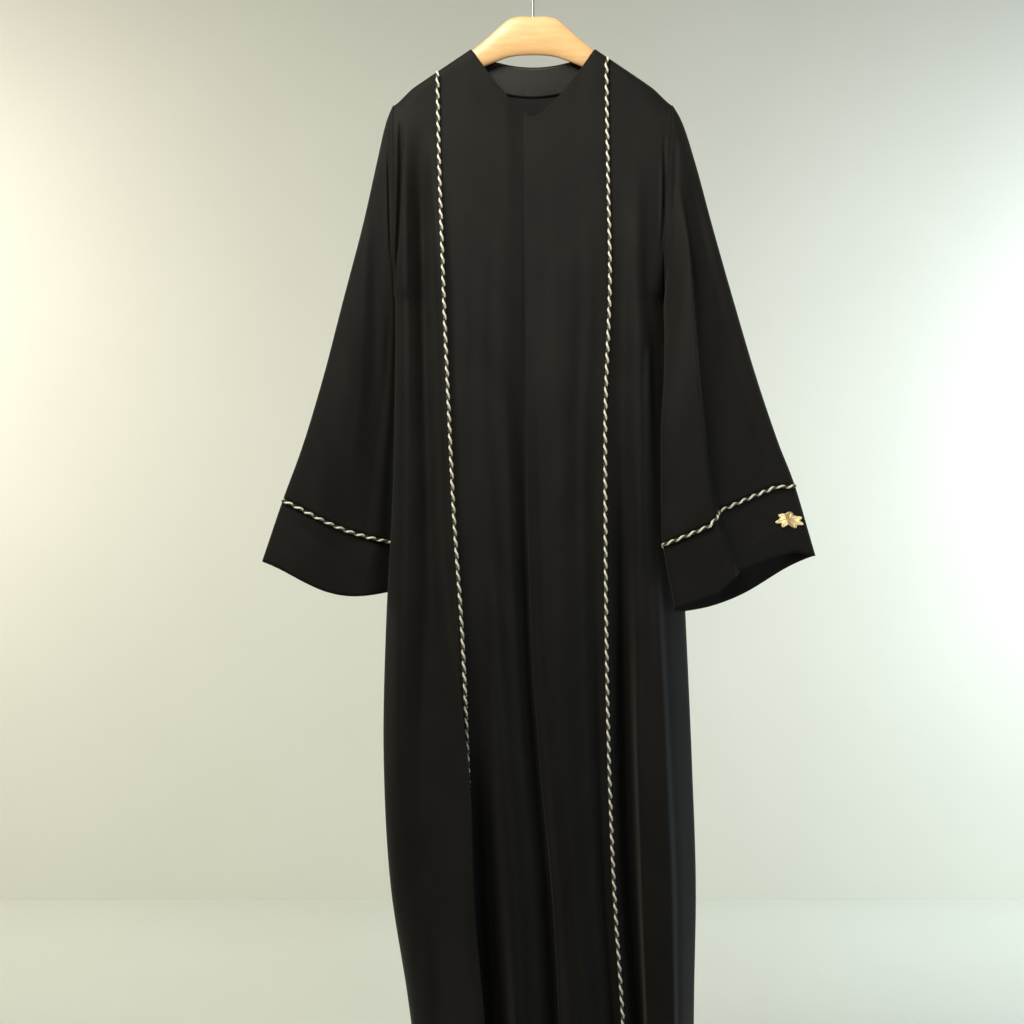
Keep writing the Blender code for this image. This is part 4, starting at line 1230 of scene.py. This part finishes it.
def rope_tree() -> bpy.types.NodeTree:
    """Build the tree that lays a two-strand rope and its binding thread along a path.

    Returns:
        The tree. Its strands turn once in a pitch, the pale one in front where the dark one is
        behind, and the thread crosses the dark strand once in a pitch.
    """
    tree, group = new_tree("twisted_rope", {
        "Dark Radius": "NodeSocketFloat", "Pale Radius": "NodeSocketFloat",
        "Strand Offset": "NodeSocketFloat", "Pitch": "NodeSocketFloat",
        "Thread Radius": "NodeSocketFloat", "Dark Strand": "NodeSocketMaterial",
        "Pale Strand": "NodeSocketMaterial", "Thread": "NodeSocketMaterial"})
    line = add_node(tree, "GeometryNodeMeshToCurve", None, {"Mesh": group.outputs["Geometry"]})
    length = add_node(tree, "GeometryNodeCurveLength", None, {"Curve": line.outputs[0]})
    ratio = add_node(tree, "ShaderNodeMath", {"operation": "DIVIDE"},
                     {0: length.outputs[0], 1: group.outputs["Pitch"]})
    turns = add_node(tree, "ShaderNodeMath", {"operation": "ROUND"}, {0: ratio.outputs[0]})
    factor = add_node(tree, "GeometryNodeSplineParameter")
    turn = add_node(tree, "ShaderNodeMath", {"operation": "MULTIPLY"},
                    {0: factor.outputs["Factor"], 1: turns.outputs[0]})
    along = add_node(tree, "ShaderNodeMath", {"operation": "MULTIPLY"},
                     {0: factor.outputs["Factor"], 1: length.outputs[0]})
    outward = add_node(tree, "GeometryNodeInputNamedAttribute", {"data_type": "FLOAT_VECTOR"},
                       {"Name": "cloth_normal"})
    tangent = add_node(tree, "GeometryNodeInputTangent")
    cross = add_node(tree, "ShaderNodeVectorMath", {"operation": "CROSS_PRODUCT"},
                     {0: tangent.outputs[0], 1: outward.outputs["Attribute"]})
    aside = add_node(tree, "ShaderNodeVectorMath", {"operation": "NORMALIZE"}, {0: cross.outputs[0]})
    square = add_node(tree, "ShaderNodeVectorMath", {"operation": "CROSS_PRODUCT"},
                      {0: aside.outputs[0], 1: tangent.outputs[0]})

    def moved(geometry: bpy.types.NodeSocket, angle: bpy.types.NodeSocket,
              reach: bpy.types.NodeSocket) -> bpy.types.NodeSocket:
        """Move each point of the path out to an angle round it, at some reach.

        Args:
            geometry: The path.
            angle: The angle from the cloth's normal, in radians.
            reach: The distance from the path.

        Returns:
            The moved path.
        """
        parts = []
        for operation, direction in (("COSINE", square), ("SINE", aside)):
            share = add_node(tree, "ShaderNodeMath", {"operation": operation}, {0: angle})
            scaled = add_node(tree, "ShaderNodeMath", {"operation": "MULTIPLY"},
                              {0: share.outputs[0], 1: reach})
            parts.append(add_node(tree, "ShaderNodeVectorMath", {"operation": "SCALE"},
                                  {0: direction.outputs[0], "Scale": scaled.outputs[0]}))
        offset = add_node(tree, "ShaderNodeVectorMath", {"operation": "ADD"},
                          {0: parts[0].outputs[0], 1: parts[1].outputs[0]})
        node = add_node(tree, "GeometryNodeSetPosition", None,
                        {"Geometry": geometry, "Offset": offset.outputs[0]})
        return node.outputs[0]

    def resampled(share: float) -> bpy.types.NodeSocket:
        """Give the path a point at every share of a pitch."""
        step = add_node(tree, "ShaderNodeMath", {"operation": "MULTIPLY"},
                        {0: group.outputs["Pitch"], 1: share})
        node = add_node(tree, "GeometryNodeResampleCurve", {"mode": "LENGTH"},
                        {"Curve": line.outputs[0], "Length": step.outputs[0]})
        return node.outputs[0]

    def tube(curve: bpy.types.NodeSocket, radius: bpy.types.NodeSocket, sides: int,
             material: bpy.types.NodeSocket) -> bpy.types.NodeSocket:
        """Run a round section along a curve, with the places that its finish reads.

        Args:
            curve: The curve to follow.
            radius: Radius of the section.
            sides: Corners of the section.
            material: The finish.

        Returns:
            The tube's mesh.
        """
        circle = add_node(tree, "GeometryNodeCurvePrimitiveCircle", {"mode": "RADIUS"},
                          {"Resolution": sides, "Radius": radius})
        on_points = {"data_type": "FLOAT", "domain": "POINT"}
        profile = circle
        round_it = add_node(tree, "ShaderNodeMath", {"operation": "MULTIPLY"},
                            {0: factor.outputs["Factor"], 1: 2 * math.pi})
        for name, operation in (("strand_cos", "COSINE"), ("strand_sin", "SINE")):
            share = add_node(tree, "ShaderNodeMath", {"operation": operation},
                             {0: round_it.outputs[0]})
            profile = add_node(tree, "GeometryNodeStoreNamedAttribute", on_points,
                               {"Geometry": profile.outputs[0], "Name": name,
                                "Value": share.outputs[0]})
        spine = add_node(tree, "GeometryNodeStoreNamedAttribute", on_points,
                         {"Geometry": curve, "Name": "strand_along", "Value": along.outputs[0]})
        skin = add_node(tree, "GeometryNodeCurveToMesh", None,
                        {"Curve": spine.outputs[0], "Profile Curve": profile.outputs[0],
                         "Fill Caps": True})
        smooth = add_node(tree, "GeometryNodeSetShadeSmooth", None, {"Geometry": skin.outputs[0]})
        real = add_node(tree, "GeometryNodeRealizeInstances", None, {0: smooth.outputs[0]})
        finish = add_node(tree, "GeometryNodeSetMaterial", None,
                          {"Geometry": real.outputs[0], "Material": material})
        return finish.outputs[0]

    # The pale strand and the dark one lie half a turn apart.
    angle = add_node(tree, "ShaderNodeMath", {"operation": "MULTIPLY"},
                     {0: turn.outputs[0], 1: -2 * math.pi})
    behind = add_node(tree, "ShaderNodeMath", {"operation": "ADD"},
                      {0: angle.outputs[0], 1: math.pi})
    pale = tube(moved(resampled(1 / 14), angle.outputs[0], group.outputs["Strand Offset"]),
                group.outputs["Pale Radius"], 10, group.outputs["Pale Strand"])
    dark = tube(moved(resampled(1 / 14), behind.outputs[0], group.outputs["Strand Offset"]),
                group.outputs["Dark Radius"], 10, group.outputs["Dark Strand"])
    # The thread swings over the dark strand's front, and hides in the cord's core between.
    part = add_node(tree, "ShaderNodeMath", {"operation": "FRACT"}, {0: turn.outputs[0]})
    place = add_node(tree, "ShaderNodeMath", {"operation": "SUBTRACT"}, {0: part.outputs[0], 1: 0.5})
    swing = add_node(tree, "ShaderNodeMapRange", {"interpolation_type": "LINEAR"},
                     {"Value": place.outputs[0], "From Min": -0.12, "From Max": 0.12,
                      "To Min": -1.65, "To Max": 1.65})
    far = add_node(tree, "ShaderNodeMath", {"operation": "ABSOLUTE"}, {0: place.outputs[0]})
    edge = add_node(tree, "ShaderNodeMath", {"operation": "ADD"},
                    {0: group.outputs["Strand Offset"], 1: group.outputs["Dark Radius"]})
    reach = add_node(tree, "ShaderNodeMapRange", None,
                     {"Value": far.outputs[0], "From Min": 0.13, "From Max": 0.20,
                      "To Min": edge.outputs[0], "To Max": 0.0})
    thread = tube(moved(resampled(1 / 26), swing.outputs[0], reach.outputs[0]),
                  group.outputs["Thread Radius"], 6, group.outputs["Thread"])
    joined = add_node(tree, "GeometryNodeJoinGeometry")
    for geometry in (thread, dark, pale):
        tree.links.new(geometry, joined.inputs[0])
    add_node(tree, "NodeGroupOutput", None, {0: joined.outputs[0]})
    return tree


def stitch_tree() -> bpy.types.NodeTree:
    """Build the tree that sets lockstitches along a path, lying on the cloth."""
    tree, group = new_tree("lockstitches", {
        "Stitch Pitch": "NodeSocketFloat", "Stitch Length": "NodeSocketFloat",
        "Thread Radius": "NodeSocketFloat", "Seed": "NodeSocketInt",
        "Material": "NodeSocketMaterial"})
    line = add_node(tree, "GeometryNodeMeshToCurve", None, {"Mesh": group.outputs["Geometry"]})
    spaced = add_node(tree, "GeometryNodeResampleCurve", {"mode": "LENGTH"},
                      {"Curve": line.outputs[0], "Length": group.outputs["Stitch Pitch"]})
    bead = add_node(tree, "GeometryNodeMeshUVSphere", None,
                    {"Segments": 6, "Rings": 4, "Radius": 0.5})
    tangent = add_node(tree, "GeometryNodeInputTangent")
    facing = add_node(tree, "FunctionNodeAlignRotationToVector", {"axis": "Z"},
                      {"Vector": tangent.outputs[0]})
    uneven = add_node(tree, "FunctionNodeRandomValue", {"data_type": "FLOAT"},
                      {2: 0.88, 3: 1.08, "Seed": group.outputs["Seed"]})
    long = add_node(tree, "ShaderNodeMath", {"operation": "MULTIPLY"},
                    {0: group.outputs["Stitch Length"], 1: uneven.outputs[1]})
    thick = add_node(tree, "ShaderNodeMath", {"operation": "MULTIPLY"},
                     {0: group.outputs["Thread Radius"], 1: 2.0})
    scale = add_node(tree, "ShaderNodeCombineXYZ", None,
                     {"X": thick.outputs[0], "Y": thick.outputs[0], "Z": long.outputs[0]})
    placed = add_node(tree, "GeometryNodeInstanceOnPoints", None,
                      {"Points": spaced.outputs[0], "Instance": bead.outputs[0],
                       "Rotation": facing.outputs[0], "Scale": scale.outputs[0]})
    real = add_node(tree, "GeometryNodeRealizeInstances", None, {0: placed.outputs[0]})
    smooth = add_node(tree, "GeometryNodeSetShadeSmooth", None, {"Geometry": real.outputs[0]})
    finish = add_node(tree, "GeometryNodeSetMaterial", None,
                      {"Geometry": smooth.outputs[0], "Material": group.outputs["Material"]})
    add_node(tree, "NodeGroupOutput", None, {0: finish.outputs[0]})
    return tree


@dataclass
class TwistedRope:
    """A two-strand cord sewn on the cloth, one turn of its strands to a pitch."""

    tree: bpy.types.NodeTree
    dark: bpy.types.Material
    pale: bpy.types.Material
    thread: bpy.types.Material
    dark_radius: float = 0.00140
    pale_radius: float = 0.00150
    strand_offset: float = 0.00130
    pitch: float = 0.0159
    thread_radius: float = 0.00022

    def build(self, name: str, node: str, points: Array, normals: Array,
              closed: bool) -> bpy.types.Object:
        """Lay the cord on the cloth.

        Args:
            name: Name of the piece.
            node: The solid that it stands for.
            points: Points of the cloth under the cord.
            normals: The cloth's normal at each point.
            closed: Whether the cord runs round and meets itself.

        Returns:
            The cord's object.
        """
        lifted = points + normals * (self.strand_offset + self.pale_radius)
        piece = grown_mesh(path_object(name, lifted, normals, closed), self.tree, {
            "Dark Radius": self.dark_radius, "Pale Radius": self.pale_radius,
            "Strand Offset": self.strand_offset, "Pitch": self.pitch,
            "Thread Radius": self.thread_radius, "Dark Strand": self.dark,
            "Pale Strand": self.pale, "Thread": self.thread})
        return settle(piece, (node,))


@dataclass
class StitchLine:
    """A row of lockstitches in black thread."""

    tree: bpy.types.NodeTree
    material: bpy.types.Material
    pitch: float = 0.0034
    length: float = 0.0027
    thread_radius: float = 0.00024

    def build(self, name: str, points: Array, normals: Array, closed: bool,
              seed: int) -> bpy.types.Object:
        """Set the stitches along the cloth.

        Args:
            name: Name of the piece.
            points: Points of the cloth under the stitches.
            normals: The cloth's normal at each point.
            closed: Whether the row runs round and meets itself.
            seed: Number that fixes the stitches' uneven lengths.

        Returns:
            The stitches' object.
        """
        piece = grown_mesh(path_object(name, points + normals * 0.0001, normals, closed), self.tree, {
            "Stitch Pitch": self.pitch, "Stitch Length": self.length,
            "Thread Radius": self.thread_radius, "Seed": seed, "Material": self.material})
        return settle(piece)


@dataclass
class BodyPanels:
    """The two fronts and the back, with their hems and the facing inside the back neck."""

    shape: BodyShape
    cloth: bpy.types.Material
    satin: bpy.types.Material
    stitches: StitchLine
    rope: TwistedRope
    row_step: float = 0.0075
    front_column_step: float = 0.0075
    back_column_step: float = 0.0125
    underlap_across: float = 0.12
    neck_across: float = 0.445
    facing_depth: float = 0.042
    facing_inset: float = 0.02
    facing_rows: int = 14
    edge_inset: float = 0.006
    cord_step: float = 0.006

    def panel_grid(self, first: float, last: float, layer: Layer, under: bool = False,
                   depth: float | None = None) -> Array:
        """Return a panel's points, from its top edge to the hem or to some depth below its edge.

        Args:
            first: Fraction across at the panel's first edge.
            last: Fraction across at its last edge.
            layer: The front or the back.
            under: Whether it passes under the other front.
            depth: How far down it goes, in metres, or None for the hem.

        Returns:
            The rows and columns of points.
        """
        shape = self.shape
        in_front = layer is Layer.FRONT
        step = self.front_column_step if in_front else self.back_column_step
        across = spread(first, last, step, EXACT_COLUMNS)[None, :]
        x_of = shape.front_x if in_front else shape.back_x
        top = shape.top_drop(x_of(across, np.full_like(across, TOP_READING_DROP)), layer)
        length = HEM_DROP - SHOULDER_TIP_DROP
        hem = tuple((length - HEM_DEPTH + offset) / length for offset in HEM_ROWS)
        start = tuple(offset / length for offset in TOP_ROWS)
        down = spread(0.0, 1.0, self.row_step / length, start + hem)[:, None]
        if depth is not None:
            down = np.linspace(0.0, depth / length, self.facing_rows)[:, None]
        drop = top + (HEM_DROP - top) * down
        return shape.points(np.broadcast_to(across, drop.shape), drop, layer, under)

    def add_sheet(self, name: str, node: str, grid: Array, layer: Layer) -> None:
        """Add one panel of cloth for a node."""
        sheet = ClothSheet(name, grid, False, (0.0, layer.value, 0.0))
        sheet.hang(self.cloth, node)

    def build(self) -> None:
        """Add the panels, the facing, the cords down the fronts and the stitched hems."""
        left = self.panel_grid(-1.0, self.underlap_across, Layer.FRONT, under=True)
        right = self.panel_grid(0.0, 1.0, Layer.FRONT)
        back = self.panel_grid(-1.0, 1.0, Layer.BACK)
        self.add_sheet("crepe_front_left", "front_left", left, Layer.FRONT)
        self.add_sheet("crepe_front_right", "front_right", right, Layer.FRONT)
        self.add_sheet("crepe_back", "back", back, Layer.BACK)
        self.add_facing()
        self.add_ropes()
        self.add_stitches({"left": left, "right": right, "back": back})

    def add_facing(self) -> None:
        """Add the satin facing inside the back neck."""
        reach = self.neck_across - self.facing_inset
        grid = self.panel_grid(-reach, reach, Layer.BACK, depth=self.facing_depth)
        normals = grid_normals(grid, False, (0.0, 1.0, 0.0))
        inside = grid - normals * (SHELL_WALL + SEAM_GAP)
        sheet = ClothSheet("satin_neck_facing", inside, False, (0.0, 1.0, 0.0), FACING_WALL)
        sheet.hang(self.satin, "neck_facing")

    def add_ropes(self) -> None:
        """Add the cord down each front, from the shoulder seam to the hem."""
        for side, across in CORD_ACROSS.items():
            x = self.shape.front_x(np.array([across]), np.array([TOP_READING_DROP]))
            top = float(self.shape.top_drop(x, Layer.FRONT)[0])
            points, normals = self.shape.line(across, top + self.edge_inset, HEM_DROP - 0.001,
                                              self.cord_step, side is Side.LEFT)
            self.rope.build(f"rope_front_{side.value}", f"front_cord_{side.value}", points, normals,
                            False)

    def add_stitches(self, grids: dict[str, Array]) -> None:
        """Add the stitches above each panel's hem and along the front edge on top.

        Args:
            grids: The points of the panels named left, right and back.
        """
        for seed, (name, grid) in enumerate(grids.items()):
            outward = (0.0, 1.0 if name == "back" else -1.0, 0.0)
            normals = grid_normals(grid, False, outward)
            height = grid[-1, :, 2].mean() + HEM_DEPTH - 0.003
            row = int(np.argmin(np.abs(grid[:, :, 2].mean(axis=1) - height)))
            self.stitches.build(f"stitches_hem_{name}", grid[row, 2:-2], normals[row, 2:-2], False,
                                seed)
        normals = grid_normals(grids["right"], False, (0.0, -1.0, 0.0))
        self.stitches.build("stitches_front_edge", grids["right"][4:-2, 2], normals[4:-2, 2], False, 9)


@dataclass
class SleeveAndCuff:
    """One sleeve with its cuff, the cord over the seam between them and the cuff's hem."""

    shape: SleeveShape
    cloth: bpy.types.Material
    rope: TwistedRope
    stitches: StitchLine
    points_around: int = 120
    station_step: float = 0.011
    cord_sink: float = 0.0036
    seam_half: float = 0.0015
    armhole_stations: tuple[float, ...] = (0.0, 0.012, 0.03, 0.05)
    hem_stations: tuple[float, ...] = (0.962, 0.965, 0.968, 0.971)
    stitch_station: float = 0.9695

    def add_tube(self, name: str, node: str, stations: Array) -> None:
        """Add a tube of cloth between stations for a node."""
        grid = self.shape.rings(stations, self.points_around)
        ClothSheet(name, grid, True, (0.0, -1.0, 0.0)).hang(self.cloth, node)

    def build(self) -> None:
        """Add the sleeve, the cuff, the cord between them and the cuff's stitches."""
        side = self.shape.side.value
        self.add_tube(f"crepe_sleeve_{side}", f"sleeve_{side}",
                      spread(0.0, CUFF_STATION - self.seam_half, self.station_step,
                             self.armhole_stations))
        self.add_tube(f"crepe_cuff_{side}", f"cuff_{side}",
                      spread(CUFF_STATION + self.seam_half, 1.0, self.station_step * 0.7,
                             self.hem_stations))
        seam = self.shape.rings(CUFF_STATION + np.array((-0.02, 0.0, 0.02)), 72)
        normals = grid_normals(seam, True, (0.0, -1.0, 0.0))
        sunk = self.cord_sink * normals[1] * normals[1][:, :1] ** 2
        self.rope.build(f"rope_cuff_{side}", f"cuff_cord_{side}", seam[1] - sunk, normals[1], True)
        hem = self.shape.rings(self.stitch_station + np.array((-0.0145, 0.0, 0.0145)), 160)
        normals = grid_normals(hem, True, (0.0, -1.0, 0.0))
        self.stitches.build(f"stitches_cuff_{side}", hem[1], normals[1], True, 5)


@dataclass
class LeafOrnament:
    """A small cast leaf with seven lobes and a raised rim, sewn to the cuff near its outer fold.

    The leaf is drawn flat and then laid on a finely sampled patch of the cuff, `patch_span` along
    the sleeve and the first `patch_columns` of `patch_ring` points round it.
    """

    shape: SleeveShape
    metal: bpy.types.Material
    width: float = 0.044
    height: float = 0.026
    lobes: int = 7
    aside: float = 0.030
    station: float = 0.942
    wall: float = 0.0011
    rim: float = 0.0006
    outline_points: int = 120
    ring_scales: tuple[float, ...] = (0.0, 0.12, 0.25, 0.4, 0.55, 0.7, 0.8, 0.86, 0.91, 0.95, 0.98, 1.0)
    patch_span: tuple[float, float] = (0.90, 0.985)
    patch_rows: int = 40
    patch_ring: int = 360
    patch_columns: int = 60

    def build(self) -> bpy.types.Object:
        """Return the ornament's object, lying on the cuff's own surface."""
        stations = np.linspace(*self.patch_span, self.patch_rows)
        patch = self.shape.rings(stations, self.patch_ring)[:, :self.patch_columns]
        normals = grid_normals(patch, False, (0.0, -1.0, 0.0))
        middle_row, near_column = self.patch_rows // 2, self.patch_columns // 3
        wide = np.cumsum(np.linalg.norm(np.diff(patch[middle_row], axis=0), axis=1))
        wide = np.concatenate(([0.0], wide))
        down = np.cumsum(np.linalg.norm(np.diff(patch[:, near_column], axis=0), axis=1))
        down = np.concatenate(([0.0], down))
        middle = np.interp(self.station, stations, down)
        angle = np.linspace(0.0, 2 * np.pi, self.outline_points, endpoint=False)[None, :]
        scale = np.array(self.ring_scales)[:, None]
        lobe = 0.86 + 0.14 * np.cos(self.lobes * angle)
        across = self.aside + scale * lobe * np.cos(angle) * self.width / 2
        fall = middle + scale * lobe * np.sin(angle) * self.height / 2
        column = np.interp(across, wide, np.arange(len(wide)))
        row = np.interp(fall, down, np.arange(len(down)))
        vein = np.clip(np.cos(self.lobes * angle), 0.0, 1.0) ** 12 * bell(scale - 0.45)
        edge = bell((scale - 0.93) / 0.09)
        relief = self.wall + self.rim * (0.8 * vein + edge) - 0.0006 * ramp(scale, 0.97, 1.0)
        face, lift = self.read(patch, row, column), self.read(normals, row, column)
        upper = face + lift * (SEAM_GAP + relief)[..., None]
        base = (face + lift * SEAM_GAP)[-1:]
        data = ring_solid("gold_leaf", np.concatenate((upper[1:], base)), upper[0].mean(axis=0))
        return settle(link_object("gold_leaf", data, self.metal), ("cuff_ornament",))

    @staticmethod
    def read(grid: Array, row: Array, column: Array) -> Array:
        """Return a grid's value between its points.

        Args:
            grid: Rows and columns of points or normals.
            row: Fractional rows to read at.
            column: Fractional columns to read at.

        Returns:
            The blended value at each place.
        """
        low_row = np.clip(np.floor(row).astype(int), 0, grid.shape[0] - 2)
        low_column = np.clip(np.floor(column).astype(int), 0, grid.shape[1] - 2)
        down, along = (row - low_row)[..., None], (column - low_column)[..., None]
        upper = grid[low_row, low_column] * (1 - along) + grid[low_row, low_column + 1] * along
        lower = (grid[low_row + 1, low_column] * (1 - along)
                 + grid[low_row + 1, low_column + 1] * along)
        return upper * (1 - down) + lower * down


@dataclass(frozen=True)
class BarSection:
    """The hanger's bar at one distance from its middle."""

    distance: float
    top_drop: float
    bottom_drop: float
    half_thickness: float


BAR_SECTIONS = (
    BarSection(0.000, 0.0750, 0.1300, 0.0068),
    BarSection(0.022, 0.0752, 0.1310, 0.0068),
    BarSection(0.034, 0.0785, 0.1330, 0.0066),
    BarSection(0.046, 0.0880, 0.1370, 0.0064),
    BarSection(0.066, 0.1062, 0.1450, 0.0062),
    BarSection(0.089, 0.1246, 0.1570, 0.0060),
    BarSection(0.130, 0.1523, 0.1810, 0.0057),
    BarSection(0.160, 0.1726, 0.1990, 0.0052),
    BarSection(0.176, 0.1840, 0.2080, 0.0046),
    BarSection(0.184, 0.1910, 0.2070, 0.0034),
)
HOOK_LINE = ((0.0, 0.0780), (0.0, 0.0600), (-0.0004, 0.0500), (-0.0035, 0.0430), (-0.0095, 0.0360),
             (-0.0150, 0.0275), (-0.01775, 0.0160), (-0.0154, 0.0071), (-0.0089, 0.0006),
             (0.0, -0.00175), (0.0089, 0.0006), (0.0154, 0.0071), (0.01775, 0.0160),
             (0.0163, 0.0235), (0.0130, 0.0290))


@dataclass
class Hanger:
    """The wooden bar and its wire hook."""

    wood: bpy.types.Material
    metal: bpy.types.Material
    sections: tuple[BarSection, ...] = BAR_SECTIONS
    section_step: float = 0.0025
    points_around: int = 40
    wire_radius: float = 0.00175

    def build(self) -> None:
        """Add the bar and the hook."""
        self.add_bar()
        self.add_hook()

    def add_bar(self) -> None:
        """Add the bar: rounded sections joined from tip to tip."""
        reach = self.sections[-1].distance
        x = spread(-reach, reach, self.section_step)
        known = table_column(self.sections, "distance")

        def size(name: str) -> Array:
            """Return a named size of the bar at each x."""
            return smooth_curve(known, table_column(self.sections, name), np.abs(x))

        top, bottom, thick = size("top_drop"), size("bottom_drop"), size("half_thickness")
        angle = np.linspace(0.0, 2 * np.pi, self.points_around, endpoint=False)[None, :]
        tall = ((bottom - top) / 2)[:, None]
        y = thick[:, None] * np.cos(angle)
        z = -((top + bottom) / 2)[:, None] + tall * np.sin(angle)
        grid = np.stack((np.broadcast_to(x[:, None], y.shape), y, z), axis=-1)
        settle(link_object("beech_bar", ring_solid("beech_bar", grid), self.wood),
               ("hanger_bar",))

    def add_hook(self) -> None:
        """Add the wire hook."""
        line = np.asarray(HOOK_LINE)
        lengths = np.linalg.norm(np.diff(line, axis=0), axis=1)
        along = np.concatenate(([0.0], np.cumsum(lengths)))
        at = np.linspace(0.0, along[-1], 90)
        x, drop = (smooth_curve(along, line[:, axis], at) for axis in (0, 1))
        curve = bpy.data.curves.new("wire_hook", "CURVE")
        curve.dimensions = "3D"
        curve.bevel_depth = self.wire_radius
        curve.bevel_resolution = 5
        curve.use_fill_caps = True
        spline = curve.splines.new("POLY")
        spline.points.add(len(at) - 1)
        for control, across, below in zip(spline.points, x, drop):
            control.co = (across, 0.0, -below, 1.0)
        holder = bpy.data.objects.new("wire_hook_line", curve)
        bpy.context.scene.collection.objects.link(holder)
        graph = bpy.context.evaluated_depsgraph_get()
        data = bpy.data.meshes.new_from_object(holder.evaluated_get(graph))
        bpy.data.objects.remove(holder)
        mesh = bmesh.new()
        mesh.from_mesh(data)
        bmesh.ops.remove_doubles(mesh, verts=mesh.verts[:], dist=0.00001)
        mesh.to_mesh(data)
        mesh.free()
        data.shade_smooth()
        settle(link_object("wire_hook", data, self.metal), ("hanger_hook",))


@dataclass(frozen=True)
class SoftLight:
    """A soft square light that faces a target; `spread` is the angle of its beam in degrees."""

    name: str
    place: tuple[float, float, float]
    target: tuple[float, float, float]
    size: float
    power: float
    colour: str
    spread: float = 180.0

    def build(self) -> None:
        """Add the light."""
        light = bpy.data.lights.new(self.name, "AREA")
        light.size = self.size
        light.energy = self.power
        light.spread = math.radians(self.spread)
        light.color = linear_colour(self.colour)[:3]
        lamp = bpy.data.objects.new(self.name, light)
        lamp.location = self.place
        aim = Vector(self.target) - Vector(self.place)
        lamp.rotation_euler = aim.to_track_quat("-Z", "Y").to_euler()
        bpy.context.scene.collection.objects.link(lamp)


LIGHTS = (
    SoftLight("key", (-0.75, -1.10, 0.70), (0.0, 0.0, -0.40), 1.0, 54.0, "#FFF6E6"),
    SoftLight("low_fill", (1.50, -0.90, -1.35), (0.20, 0.0, -1.25), 0.6, 0.7, "#DDEAFF", 60.0),
    SoftLight("sleeve_fill", (1.60, -1.30, -0.45), (0.28, 0.0, -0.45), 0.6, 0.9, "#FFF6EA", 40.0),
    SoftLight("wall_wash_left", (-3.2, 1.9, 0.3), (-0.9, 3.2, -0.8), 1.5, 47.0, "#FFF4E8", 150.0),
    SoftLight("wall_wash_right", (3.2, 1.9, -0.3), (0.9, 3.2, -1.0), 1.5, 62.0, "#E9F4FF", 150.0),
)


@dataclass
class Studio:
    """The plain room: wall, floor, soft lights and the camera in front of the cloak."""

    distance: float = 2.2
    centre_x: float = -0.030
    centre_drop: float = 0.783
    view_width: float = 1.464
    wall_y: float = 3.20
    floor_drop: float = 2.145

    def build(self) -> None:
        """Add the room, the lights and the camera."""
        scene = bpy.context.scene
        scene.view_settings.view_transform = "Standard"
        world = bpy.data.worlds.new("room")
        world.use_nodes = True
        world.node_tree.nodes["Background"].inputs["Color"].default_value = linear_colour("#EEF6F2")
        world.node_tree.nodes["Background"].inputs["Strength"].default_value = 0.06
        scene.world = world
        self.add_plane("wall", (0.0, self.wall_y, 0.4), (math.pi / 2, 0.0, 0.0),
                       PlainPaint("wall_emulsion", "#EDEFE4", "#E6E8DC"))
        self.add_plane("floor", (0.0, 0.0, -self.floor_drop), (0.0, 0.0, 0.0),
                       PlainPaint("floor_paint", "#E0E4DA", "#D8DCD1"))
        for light in LIGHTS:
            light.build()
        self.add_camera()

    def add_plane(self, name: str, place: tuple[float, float, float],
                  turn: tuple[float, float, float], paint: PlainPaint) -> None:
        """Add a large flat surface of the room.

        Args:
            name: Name of the surface.
            place: Its middle.
            turn: Its turn about the three axes, in radians.
            paint: Its paint.
        """
        mesh = bmesh.new()
        bmesh.ops.create_grid(mesh, x_segments=8, y_segments=8, size=6.0)
        data = bpy.data.meshes.new(name)
        mesh.to_mesh(data)
        mesh.free()
        piece = link_object(name, data, paint.build())
        piece.location = place
        piece.rotation_euler = turn

    def add_camera(self) -> None:
        """Add the camera, level and square to the cloak."""
        data = bpy.data.cameras.new("camera")
        data.sensor_width = 36.0
        data.lens = data.sensor_width * self.distance / self.view_width
        camera = bpy.data.objects.new("camera", data)
        camera.location = (self.centre_x, -self.distance, -self.centre_drop)
        camera.rotation_euler = (math.pi / 2, 0.0, 0.0)
        bpy.context.scene.collection.objects.link(camera)
        bpy.context.scene.camera = camera


def main() -> None:
    """Build the room and every piece of the cloak, in order."""
    logging.basicConfig(level=logging.INFO, format="%(name)s: %(message)s")
    Studio().build()
    crepe = CrepeCloth().build()
    # Each strand's first colour is painted shade in the grooves between its filaments, the second
    # painted highlight on their crests.
    black_thread = SpunStrand("black_thread_spun", "#050505", "#0D0D0D", 3, 1.5, 0.7, 0.05).build()
    rope = TwistedRope(
        tree=rope_tree(),
        dark=SpunStrand("black_rayon_strand", "#0B0B0A", "#171715").build(),
        pale=SpunStrand("ivory_rayon_strand", "#C9C4A8", "#F3F1E2").build(),
        thread=SpunStrand("gold_lurex_thread", "#8F8668", "#D5CFAE", 2, 1.2).build())
    stitches = StitchLine(stitch_tree(), black_thread)
    body = BodyShape()
    BodyPanels(shape=body, cloth=crepe, satin=SatinFacing().build(), stitches=stitches,
               rope=rope).build()
    left = SleeveShape(Side.LEFT, LEFT_SLEEVE, LEFT_SLEEVE_FOLDS, LEFT_SLEEVE_CREASES, (), body)
    right = SleeveShape(Side.RIGHT, RIGHT_SLEEVE, RIGHT_SLEEVE_FOLDS, RIGHT_SLEEVE_CREASES,
                        RIGHT_SLEEVE_PLEATS, body)
    for shape in (left, right):
        SleeveAndCuff(shape, crepe, rope, stitches).build()
    LeafOrnament(right, GoldToneWithPaintedHighlight().build()).build()
    Hanger(VarnishedBeech().build(), ZincPlatedWire().build()).build()


if __name__ == "__main__":
    main()
